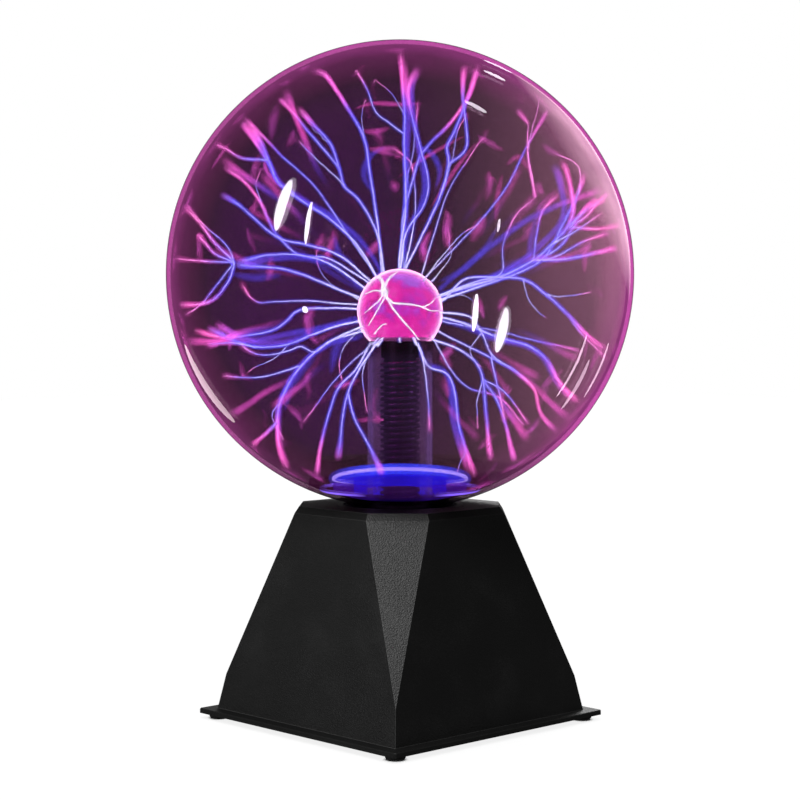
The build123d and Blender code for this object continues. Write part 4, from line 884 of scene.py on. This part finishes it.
s = Shader("electrode_aura")
facing = s.facing()
veil = s.levels(facing, [(0.0, 0.03), (0.5, 0.10), (0.64, 0.5), (0.76, 1.0), (0.95, 0.9), (1.0, 0.2)])
hue = s.ramp(facing, [
    (0.0, (0.8, 0.25, 0.9)), (0.6, (1.0, 0.35, 0.9)), (0.78, (1.0, 0.80, 0.97)),
    (0.93, (1.0, 0.55, 1.0)), (1.0, (0.6, 0.25, 1.0)),
])
unlit(lathe("electrode_aura", arc(GLOW_R, -43, 90, 64, BULB.z), s.glow(gas(s, hue, 1.6, veil))))

# The stem's glass, from the bulb down to the neck: clear face on, with a painted lavender glow where it turns
# away, for the discharge's light on its edges.
s = Shader("stem_glass")
height = s.height()
veil = s.levels(s.facing(), [(0.0, 0.02), (0.5, 0.05), (0.8, 0.35), (1.0, 0.6)])
veil = s.times(veil, s.spread(height, BULB.z - BULB_R * 0.90, BULB.z - BULB_R * 1.2))
veil = s.times(veil, s.spread(height, below(98), below(93)))
streaked = s.add("ShaderNodeMapping", {"Vector": s.place(), "Scale": (260, 260, 14)}).outputs["Vector"]
hue = s.ramp(s.noise(1.0, 2.0, 0.5, streaked), [(0.35, (0.22, 0.16, 0.60)), (0.6, (0.50, 0.34, 0.85))])
paint("inner_glass_stem", s.glow(glazed(s, gas(s, hue, 0.55, veil), (0.8, 0.8, 0.85), 0.05, 0.02)))

# ---------------------------------------------------------------- the globe, as one smooth blown surface

NECK_R = 22 * mm
WALL_THICK = 2 * mm
OUTER_R = GLOBE_R * 0.9998  # just inside the CAD globe


def globe_profile(radius, neck):
    """The neck's straight wall, a small flare and the sphere, as (radius, height) pairs."""
    shoulder = -math.degrees(math.acos((neck + 2.2 * mm) / radius))
    ball = arc(radius, shoulder, 90, 150, GLOBE.z)
    joins = ball[0][1]
    straight = [(neck, globe_low.z), (neck, joins - 5.5 * mm)]
    flare = [(neck + 0.15 * mm, joins - 3.4 * mm), (neck + 0.8 * mm, joins - 1.5 * mm)]
    return straight + flare + ball


outer = globe_profile(OUTER_R, NECK_R)
inner = globe_profile(OUTER_R - WALL_THICK, NECK_R - WALL_THICK)
globe = lathe("globe_shell", inner[::-1] + outer, globe_glass, 160)
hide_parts("glass_globe")

# ---------------------------------------------------------------- glow in the neck

RING_Z = below(89)
RING_R = 29 * mm


def haze(name, profile, hue, strength, stops, weight=None, sides=96):
    """A glowing veil: clear face on or edge on, as the stops say, and thinned where weight is low."""
    s = Shader(name)
    veil = s.levels(s.facing(), stops)
    if weight:
        veil = s.times(veil, weight(s))
    tone = s.tones(s.noise(60.0, 2.0), shade(hue, 0.75), hue)
    return unlit(lathe(name, profile, s.glow(gas(s, tone, strength, veil)), sides))


def ring_profile(radius, height, thick, count=16):
    turns = [2 * math.pi * k / count for k in range(count + 1)]
    return [(radius + thick * math.cos(turn), height + thick * math.sin(turn)) for turn in turns]


def leaned(made, near_rise=6.8 * mm, far_drop=4.2 * mm):
    """Lifts the near side of a ring and lowers its far side, as the curved glass makes it look."""
    for vertex in made.data.vertices:
        nearness = vertex.co.dot(TO_CAMERA) / RING_R
        vertex.co.z += nearness * (near_rise if nearness > 0 else far_drop)
    return made


def off_middle(s, near_side, far_side, least):
    """Least across the middle and full beyond, going by how far left or right a point lies."""
    return s.spread(s.maths("ABSOLUTE", s.along(RIGHT)), near_side, far_side, least, 1.0)


def far_side_dimmed(s):
    """Dim where the ring passes behind."""
    return s.spread(s.along(TO_CAMERA), -20 * mm, -8 * mm, 0.2, 1.0)


def dark_column(s):
    """The stem's shadow in the glow round the neck."""
    return off_middle(s, 8 * mm, 11 * mm, 0.35)


def at_the_sides(s):
    return off_middle(s, 14 * mm, 26 * mm, 0.0)


BRIGHT_CORE = [(0.0, 0.9), (1.0, 0.4)]
SOFT_HALO = [(0.0, 0.6), (0.5, 0.3), (1.0, 0.0)]
for name, thick, hue, strength, stops in (
    ("neck_ring_core", 0.8 * mm, (0.42, 0.40, 1.0), 1.9, BRIGHT_CORE),
    ("neck_ring_halo", 2.4 * mm, (0.04, 0.08, 1.0), 1.3, SOFT_HALO),
):
    leaned(haze(name, ring_profile(RING_R, RING_Z, thick), hue, strength, stops, far_side_dimmed))
outer_ring = ring_profile(34.5 * mm, below(93), 0.9 * mm)
outer_stops = [(0.0, 0.6), (0.6, 0.4), (1.0, 0.0)]
haze("neck_outer_ring", outer_ring, (0.22, 0.14, 1.0), 1.5, outer_stops, at_the_sides)
skirt = [
    (RING_R, RING_Z - 0.5 * mm), (29.4 * mm, RING_Z - 3 * mm), (RING_R, RING_Z - 5.4 * mm),
    (25.0 * mm, RING_Z - 6.6 * mm), (20.5 * mm, RING_Z - 7.8 * mm),
]
skirt_stops = [(0.0, 0.28), (0.6, 0.40), (1.0, 0.6)]
haze("neck_blue_skirt", skirt, (0.09, 0.015, 0.9), 0.6, skirt_stops, dark_column)
disc = [(20.2 * mm, RING_Z - 1.8 * mm), (28.6 * mm, RING_Z - 0.4 * mm)]
leaned(haze("neck_blue_floor", disc, (0.01, 0.015, 1.0), 1.0, [(0.0, 0.4), (0.8, 0.7), (1.0, 0.85)]))
sleeve = [(20.3 * mm, RING_Z + rise) for rise in (-6 * mm, 1.5 * mm)]
leaned(haze("neck_blue_sleeve", sleeve, (0.004, 0.01, 1.0), 0.9, [(0.0, 0.75), (1.0, 0.75)]))

# ---------------------------------------------------------------- haze in the globe

ACROSS = RIGHT / GLOBE_R  # measures how far right a point lies, in globe radii

# A mauve veil of painted glow lies over the globe's right-hand side, strongest at the far right: a painted
# reflection of soft light on the glass.
s = Shader("side_painted_reflection")
drifting = s.plus(s.along(ACROSS), s.swing(9.0, 0.35))
veil = s.levels(drifting, [(0.0, 0.0), (0.30, 0.02), (0.50, 0.06), (0.80, 0.15), (0.92, 0.32), (1.0, 0.55)])
reflection_material = s.glow(gas(s, seen((0.95, 0.42, 0.62)), 0.62, veil))
unlit(lathe("side_painted_reflection", arc(GLOBE_R * 0.968, -58, 80, 64, GLOBE.z), reflection_material))


def limb_weight(s):
    """Fuller towards the right-hand side, as painted reflected light, and gone by the time the globe reaches
    its neck.
    """
    side = s.spread(s.along(ACROSS), -0.7, 0.8, 0.65, 1.0)
    return s.times(side, s.spread(s.height(), below(95), below(62)))


def far_left_weight(s):
    """Fuller towards the left-hand side, and only on the side away from the front."""
    left = s.spread(s.along(ACROSS), 0.35, -0.45, 0.2, 1.0)
    return s.times(left, s.spread(s.along(TO_CAMERA / GLOBE_R), 0.0, -0.3))


# Gas haze against the glass, deepest where the line of sight grazes it; its extra on the right-hand side is
# painted reflected light.
limb = arc(GLOBE_R * 0.998, -74, 90, 120, GLOBE.z)
LIMB_STOPS = [(0.0, 0.0), (0.45, 0.01), (0.65, 0.10), (0.8, 0.30), (0.92, 0.75), (1.0, 1.0)]
haze("limb_haze", limb, (0.95, 0.12, 0.70), 0.58, LIMB_STOPS, limb_weight, 160)

# Violet light from the gas between the streamers, mostly on the left.
behind = arc(GLOBE_R * 0.90, -62, 90, 80, GLOBE.z)
VIOLET_STOPS = [(0.0, 0.16), (0.35, 0.13), (0.7, 0.04), (1.0, 0.0)]
haze("violet_glow", behind, (0.42, 0.01, 0.80), 0.42, VIOLET_STOPS, far_left_weight)

# A painted highlight on the outline, upper right: a pale pink glow that stands in for a soft reflection
# there.
s = Shader("limb_painted_highlight")
highlight_way = (RIGHT * 0.88 + UP * 0.47).normalized()
middle = GLOBE.dot(highlight_way) / GLOBE_R
patch = s.spread(s.along(highlight_way / GLOBE_R), 0.80 + middle, 0.99 + middle)
edge = s.levels(s.facing(), [(0.4, 0.0), (0.7, 0.35), (0.9, 0.9), (1.0, 1.0)])
veil = s.times(patch, edge)
veil = s.times(veil, s.tones(s.noise(30.0, 3.0), grey(0.35), grey(1.0)))
highlight_material = s.glow(gas(s, seen((1.0, 0.55, 0.72)), 1.35, veil))
unlit(lathe("limb_painted_highlight", arc(GLOBE_R * 0.985, -50, 85, 80, GLOBE.z), highlight_material, 128))

# ---------------------------------------------------------------- the solids' materials

# Moulded parts: node, then the material's name, colour, roughness, grain, depth, speck, specular and painted
# edge highlight.
MOULDED = [
    ("base_housing", "housing_plastic", grey(0.004), 0.42, 2100.0, 0.13, 2.2, 0.25, 0.05),
    ("bottom_plate", "plate_plastic", grey(0.005), 0.42, 1700.0, 0.04, 0.6, 0.25),
    ("rubber_feet", "feet_rubber", grey(0.018), 0.75, 700.0, 0.06, 0.2, 0.3),
    ("neck_gasket", "gasket_rubber", grey(0.008), 0.6, 800.0, 0.04, 0.1, 0.3),
    ("neck_collar", "collar_plastic", grey(0.010), 0.38, 1400.0, 0.03),
    ("stem_plug", "plug_rubber", grey(0.015), 0.65, 700.0, 0.05),
    ("coil_former", "former_plastic", (0.012, 0.008, 0.02), 0.4, 900.0, 0.03),
    ("winding_formers", "former_nylon", (0.62, 0.58, 0.48), 0.45, 700.0, 0.03),
    ("microphone_boot", "boot_rubber", grey(0.012), 0.7, 800.0, 0.05),
    ("jack_body", "jack_plastic", grey(0.010), 0.33, 1500.0, 0.02),
    ("switch_frame", "switch_plastic", grey(0.011), 0.3, 1500.0, 0.02),
    ("rocker_plunger", "plunger_nylon", (0.72, 0.70, 0.64), 0.4, 900.0, 0.02),
    ("driver_chip", "chip_epoxy", grey(0.02), 0.5, 1300.0, 0.03, 0.4),
    ("transistor_body", "transistor_epoxy", grey(0.018), 0.45, 1300.0, 0.03, 0.4),
]
for node, *look in MOULDED:
    paint(node, moulded(*look))

# Metal parts: node, then the material's name, colour, roughness, stretch, grain and depth.
STEEL = (0.56, 0.56, 0.58)
TIN = (0.70, 0.70, 0.72)
EVEN = (1, 1, 1)
screws = ("bottom_plate_screws", "collar_screws", "board_screws", "heat_sink_screw")
legs = ("chip_legs", "transistor_legs", "resistor_legs")
METAL = [(node, node + "_zinc", STEEL, 0.28, EVEN, 900.0) for node in screws]
METAL += [(node, node + "_tin", TIN, 0.3, EVEN, 1400.0) for node in legs]
METAL += [
    ("core_clamp", "clamp_steel", (0.42, 0.42, 0.40), 0.35, (1, 8, 1), 300.0),
    ("transistor_tab", "tab_copper", (0.72, 0.68, 0.62), 0.3, (1, 1, 6)),
    ("electrode_rod", "rod_steel", (0.50, 0.48, 0.52), 0.25, (6, 6, 0.5), 300.0),
    ("rod_ferrule", "ferrule_nickel", (0.66, 0.63, 0.57), 0.22, (1, 1, 6)),
    ("jack_nut", "nut_nickel", (0.62, 0.60, 0.56), 0.25, (5, 1, 5)),
    ("jack_pin", "pin_nickel", (0.74, 0.71, 0.64), 0.18, (6, 1, 6)),
    ("jack_spring", "spring_bronze", (0.70, 0.50, 0.28), 0.3, (1, 6, 1)),
    ("plunger_spring", "plunger_steel", STEEL, 0.24, EVEN, 1500.0),
    ("switch_terminals", "terminal_brass", (0.78, 0.62, 0.30), 0.3, (6, 1, 6)),
    ("contact_seesaw", "seesaw_brass", (0.76, 0.60, 0.30), 0.28, (6, 1, 6), 600.0),
    ("heat_sink", "sink_anodised", (0.035, 0.035, 0.04), 0.42, (1, 1, 7)),
    ("microphone", "microphone_can", (0.60, 0.60, 0.60), 0.3, EVEN, 900.0),
    ("primary_winding", "primary_copper", (0.62, 0.26, 0.10), 0.32, (1, 1, 30), 60.0, 0.2),
]
for node, *look in METAL:
    paint(node, metal(*look))

# Coated parts: node, then the material's name, colour, roughness, lump, depth and second colour.
COATED = [
    ("transformer_core", "core_ferrite", (0.030, 0.030, 0.033), 0.55, 500.0, 0.04),
    ("secondary_winding", "secondary_tape", (0.55, 0.42, 0.08), 0.35, 300.0, 0.05, (0.42, 0.30, 0.05)),
    ("can_capacitors", "can_sleeve", (0.02, 0.03, 0.10), 0.3, 200.0, 0.02),
    ("film_capacitors", "film_lacquer", (0.55, 0.07, 0.03), 0.3, 260.0),
    ("power_leads", "power_insulation", (0.45, 0.015, 0.012), 0.4, 300.0, 0.04),
    ("switch_leads", "switch_insulation", (0.015, 0.015, 0.018), 0.4, 300.0, 0.04),
    ("microphone_leads", "microphone_insulation", (0.62, 0.60, 0.56), 0.4, 300.0, 0.04),
    ("high_voltage_lead", "silicone_insulation", (0.62, 0.58, 0.55), 0.5, 200.0),
]
for node, *look in COATED:
    paint(node, glossy_coat(*look))

# Circuit board: brick-pattern tracks under green lacquer, with a fine weave.
s = Shader("board_laminate")
at_board = s.place()
weave = s.add("ShaderNodeTexChecker", {"Vector": at_board, "Scale": 1800.0}).outputs["Fac"]
tracks = s.add("ShaderNodeTexBrick", {"Vector": at_board, "Scale": 90.0, "Mortar Size": 0.012}).outputs["Fac"]
lacquer = s.tones(s.noise(50.0), (0.006, 0.045, 0.012), (0.010, 0.075, 0.020))
paint("circuit_board", s.solid(s.mix(tracks, lacquer, (0.03, 0.16, 0.04)), 0.35, s.bump(weave, 0.02 * mm)))

# Resistors: beige lacquer with coloured bands across the body's length.
s = Shader("resistor_lacquer")
BEIGE = (0.55, 0.40, 0.22)
wave = s.add("ShaderNodeTexWave", {"Vector": s.place(), "Scale": 180.0}, bands_direction="X").outputs["Fac"]
stripes = [(0.0, BEIGE), (0.80, BEIGE), (0.82, (0.25, 0.03, 0.02)), (0.92, grey(0.02))]
bands = s.ramp(wave, stripes, "CONSTANT")
paint("resistors", s.solid(bands, 0.3, s.bump(s.noise(400.0), 0.03 * mm)))

# Stem coil: lacquered wire, painted violet to stand in for the discharge's light on the dark wire.
s = Shader("coil_wire")
drawn = s.noise(700.0, 3.0, 0.6)
violet = s.tones(s.noise(90.0), (0.16, 0.08, 0.20), (0.34, 0.18, 0.36))
wire = s.solid(violet, s.vary(drawn, 0.22, 0.42), s.bump(drawn, 0.02 * mm), Metallic=0.85)
paint("stem_coil", wire)

# Rocker: polished black with the generic marks for on (bar) and off (ring) on its two halves.
MARK_OUT = 4.6 * mm  # how far each mark is from the rocker's middle
s = Shader("rocker_plastic")
fine = s.noise(1500.0, 3.0)
rocker_low, rocker_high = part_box("rocker")
middle = tuple((rocker_low + rocker_high) / 2)
shifted = s.add("ShaderNodeVectorMath", {0: s.place(), 1: middle}, operation="SUBTRACT").outputs["Vector"]
parts = s.add("ShaderNodeSeparateXYZ", {0: shifted}).outputs
across, lift = parts["X"], parts["Z"]


def near(value, centre, half, soft=0.06 * mm):
    """1 where value is within half of centre."""
    off = s.maths("ABSOLUTE", s.minus(value, centre))
    return s.spread(off, half + soft, half - soft)


def square(value):
    return s.times(value, value)


bar = s.times(near(across, -MARK_OUT, 0.35 * mm), near(lift, 0.0, 1.7 * mm))
off_centre = square(s.minus(across, MARK_OUT))
from_centre = s.maths("SQRT", s.plus(off_centre, square(lift)))
marks = s.maths("MAXIMUM", bar, near(from_centre, 1.5 * mm, 0.32 * mm))
plastic = s.mix(marks, grey(0.012), (0.75, 0.75, 0.73))
paint("rocker", s.solid(plastic, s.vary(fine, 0.22, 0.36), s.bump(fine, 0.01 * mm)))

# ---------------------------------------------------------------- floor, world and lamps

ROOM_LIGHT = 0.12  # what the white room gives the object
FLOOR_GAP = 0.0002  # between the feet and the floor, in metres
FLOOR_REACH = 3.0  # from the object to the floor's edge, in metres

world = bpy.data.worlds.new("studio")
scene.world = world
world.use_nodes = True
room = world.node_tree.nodes["Background"]
room.inputs["Color"].default_value = (1, 1, 1, 1)
ray = world.node_tree.nodes.new("ShaderNodeLightPath")
level = world.node_tree.nodes.new("ShaderNodeMapRange")
level.inputs["To Min"].default_value = ROOM_LIGHT
level.inputs["To Max"].default_value = 1.0
world.node_tree.links.new(ray.outputs["Is Camera Ray"], level.inputs["Value"])
world.node_tree.links.new(level.outputs["Result"], room.inputs["Strength"])

floor_mesh = bmesh.new()
bmesh.ops.create_grid(floor_mesh, x_segments=24, y_segments=24, size=FLOOR_REACH)
floor_data = bpy.data.meshes.new("floor")
floor_mesh.to_mesh(floor_data)
floor_mesh.free()
floor = bpy.data.objects.new("floor", floor_data)
floor.location = (0, 0, cad_box[0][2] - FLOOR_GAP)
scene.collection.objects.link(floor)
floor.visible_glossy = False
floor.visible_diffuse = False
s = Shader("floor_paper")
tone = s.tones(s.noise(3.0, 2.0), grey(0.95), grey(0.97))
floor_data.materials.append(s.solid(tone, 0.9, s.bump(s.noise(600.0), 0.02 * mm), Specular_IOR_Level=0.1))


def group(name, members):
    """A collection that light linking goes by."""
    made = bpy.data.collections.new(name)
    for member in members:
        made.objects.link(member)
    return made


def new_lamp(name, kind, power, lit, colour=(1, 1, 1)):
    """A lamp that lights only the group lit."""
    data = bpy.data.lights.new(name, kind)
    data.energy = power
    data.color = colour
    made = bpy.data.objects.new(name, data)
    scene.collection.objects.link(made)
    made.light_linking.receiver_collection = lit
    return made


def area_lamp(name, shape, width, height, power, lit, colour=(1, 1, 1)):
    made = new_lamp(name, "AREA", power, lit, colour)
    made.data.shape = shape
    made.data.size, made.data.size_y = width, height
    made.visible_camera = False
    return made


def mirrored_at(u, v, far):
    """Where a lamp stands, far from the globe's skin, for the camera to see it mirrored at u, v."""
    w = math.sqrt(max(0.02, 1 - u * u - v * v))
    near = 1 - w * GLOBE_R / DISTANCE
    normal = (RIGHT * u * near + UP * v * near + TO_CAMERA * w).normalized()
    skin = GLOBE + normal * GLOBE_R
    view = (camera.location - skin).normalized()
    return skin + (normal * 2 * normal.dot(view) - view) * far


only_globe = group("only_globe", [globe])


def glint(name, spot, long, wide, lean, far, light, colour=(1, 1, 1)):
    """A lamp that the globe mirrors at spot: a streak long by wide, in globe radii, leaning from upright."""
    lean = math.radians(lean)
    u, v = spot

    def between_ends(du, dv):
        return mirrored_at(u + du, v + dv, far) - mirrored_at(u - du, v - dv, far)

    middle = mirrored_at(u, v, far)
    tall = between_ends(math.sin(lean) * long / 2, math.cos(lean) * long / 2)
    broad = between_ends(math.cos(lean) * wide / 2, -math.sin(lean) * wide / 2)
    power = light * broad.length * tall.length
    made = area_lamp("glint_" + name, "ELLIPSE", broad.length, tall.length, power, only_globe, colour)
    back = (middle - GLOBE).normalized()
    tall = (tall - back * tall.dot(back)).normalized()
    turned = Matrix((tall.cross(back), tall, back)).transposed()
    made.matrix_world = Matrix.Translation(middle) @ turned.to_4x4()


# Each glint: name, spot, length, width, lean in degrees, the lamp's distance in metres, light and colour.
CREAM = (1.0, 0.88, 0.82)
PINKISH = (1.0, 0.80, 0.88)
GLINTS = [
    ("left_wide", (-0.490, 0.275), 0.225, 0.038, 18, 1.2, 150),
    ("left_smear", (-0.482, 0.282), 0.23, 0.060, 18, 1.2, 22),
    ("left_thin", (-0.388, 0.20), 0.18, 0.017, 9, 1.2, 190),
    ("right_thin", (0.32, -0.18), 0.16, 0.022, 6, 0.45, 220),
    ("right_wide", (0.430, -0.25), 0.19, 0.036, 13, 0.32, 150),
    ("right_smear", (0.432, -0.245), 0.20, 0.056, 13, 0.32, 22),
    ("dot", (-0.400, -0.165), 0.030, 0.022, 0, 0.6, 150),
    ("speck", (0.414, 0.188), 0.060, 0.010, 8, 1.0, 130),
    ("arc_top", (0.405, 0.857), 0.13, 0.008, 113, 1.0, 14),
    ("arc_low", (0.388, 0.808), 0.10, 0.012, 115, 1.0, 34),
    ("mark", (0.31, 0.674), 0.10, 0.015, 118, 1.0, 90),
    ("streak_1", (0.716, -0.388), 0.29, 0.009, 26, 0.30, 70, PINKISH),
    ("streak_2", (0.729, -0.46), 0.24, 0.014, 29, 0.30, 34, PINKISH),
    ("streak_3", (0.819, -0.40), 0.26, 0.009, 24, 0.30, 24, PINKISH),
    ("crescent", (-0.80, -0.475), 0.52, 0.026, -33, 0.45, 16, CREAM),
]
for look in GLINTS:
    glint(*look)


def softbox(name, place, target, size, power, lit, colour=(1, 1, 1)):
    """A soft lamp at place, turned to target, with size (width, height), that lights only the nodes lit."""
    receivers = group(name + "_only", [nodes[node] for node in lit])
    made = area_lamp(name, "RECTANGLE", *size, power, receivers, colour)
    made.location = place
    made.rotation_euler = (target - place).to_track_quat("-Z", "Y").to_euler()


def room_lamp(name, way, height, far, size, power, lit):
    """A softbox far off, in a direction given as right, up and towards the viewer, that points at height."""
    right, up, towards = way
    target = Vector((0, 0, height))
    place = target + (RIGHT * right + UP * up + TO_CAMERA * towards).normalized() * far
    softbox(name, place, target, size, power, lit)


shell_nodes = ["base_housing", "bottom_plate"]
rear_nodes = shell_nodes + ["switch_frame", "rocker", "jack_body", "jack_nut", "microphone_boot"]
base_nodes = shell_nodes + ["rubber_feet", "neck_collar"]
room_lamp("rear_fill", (0.25, 0.55, -0.85), 0.05, 1.2, (0.5, 0.4), 7.0, rear_nodes)
room_lamp("key_high", (-0.30, 0.70, 0.66), 0.06, 1.2, (0.34, 0.30), 17.0, base_nodes)
room_lamp("fill_left", (-0.8, 0.25, 0.5), 0.05, 1.3, (0.6, 0.6), 3.8, base_nodes)

# The sun whitens the floor, and only the feet cast a shadow in its light.
sun = new_lamp("floor_wash", "SUN", 3.1, group("floor_only", [floor]))
sun.data.angle = math.radians(70)
sun.light_linking.blocker_collection = group("standing_on_floor", [nodes["rubber_feet"]])

inside = ["stem_coil", "coil_former", "stem_plug", "neck_gasket", "electrode_rod"]
stem_middle = BULB + UP * -0.05
glow_left = GLOBE + RIGHT * -0.05 + TO_CAMERA * 0.05 + UP * -0.02
glow_right = GLOBE + RIGHT * 0.06 + TO_CAMERA * 0.02 + UP * -0.03
softbox("glow_left", glow_left, stem_middle, (0.03, 0.06), 0.035, inside, (0.8, 0.45, 1.0))
softbox("glow_right", glow_right, stem_middle, (0.02, 0.06), 0.02, inside, (0.6, 0.5, 1.0))
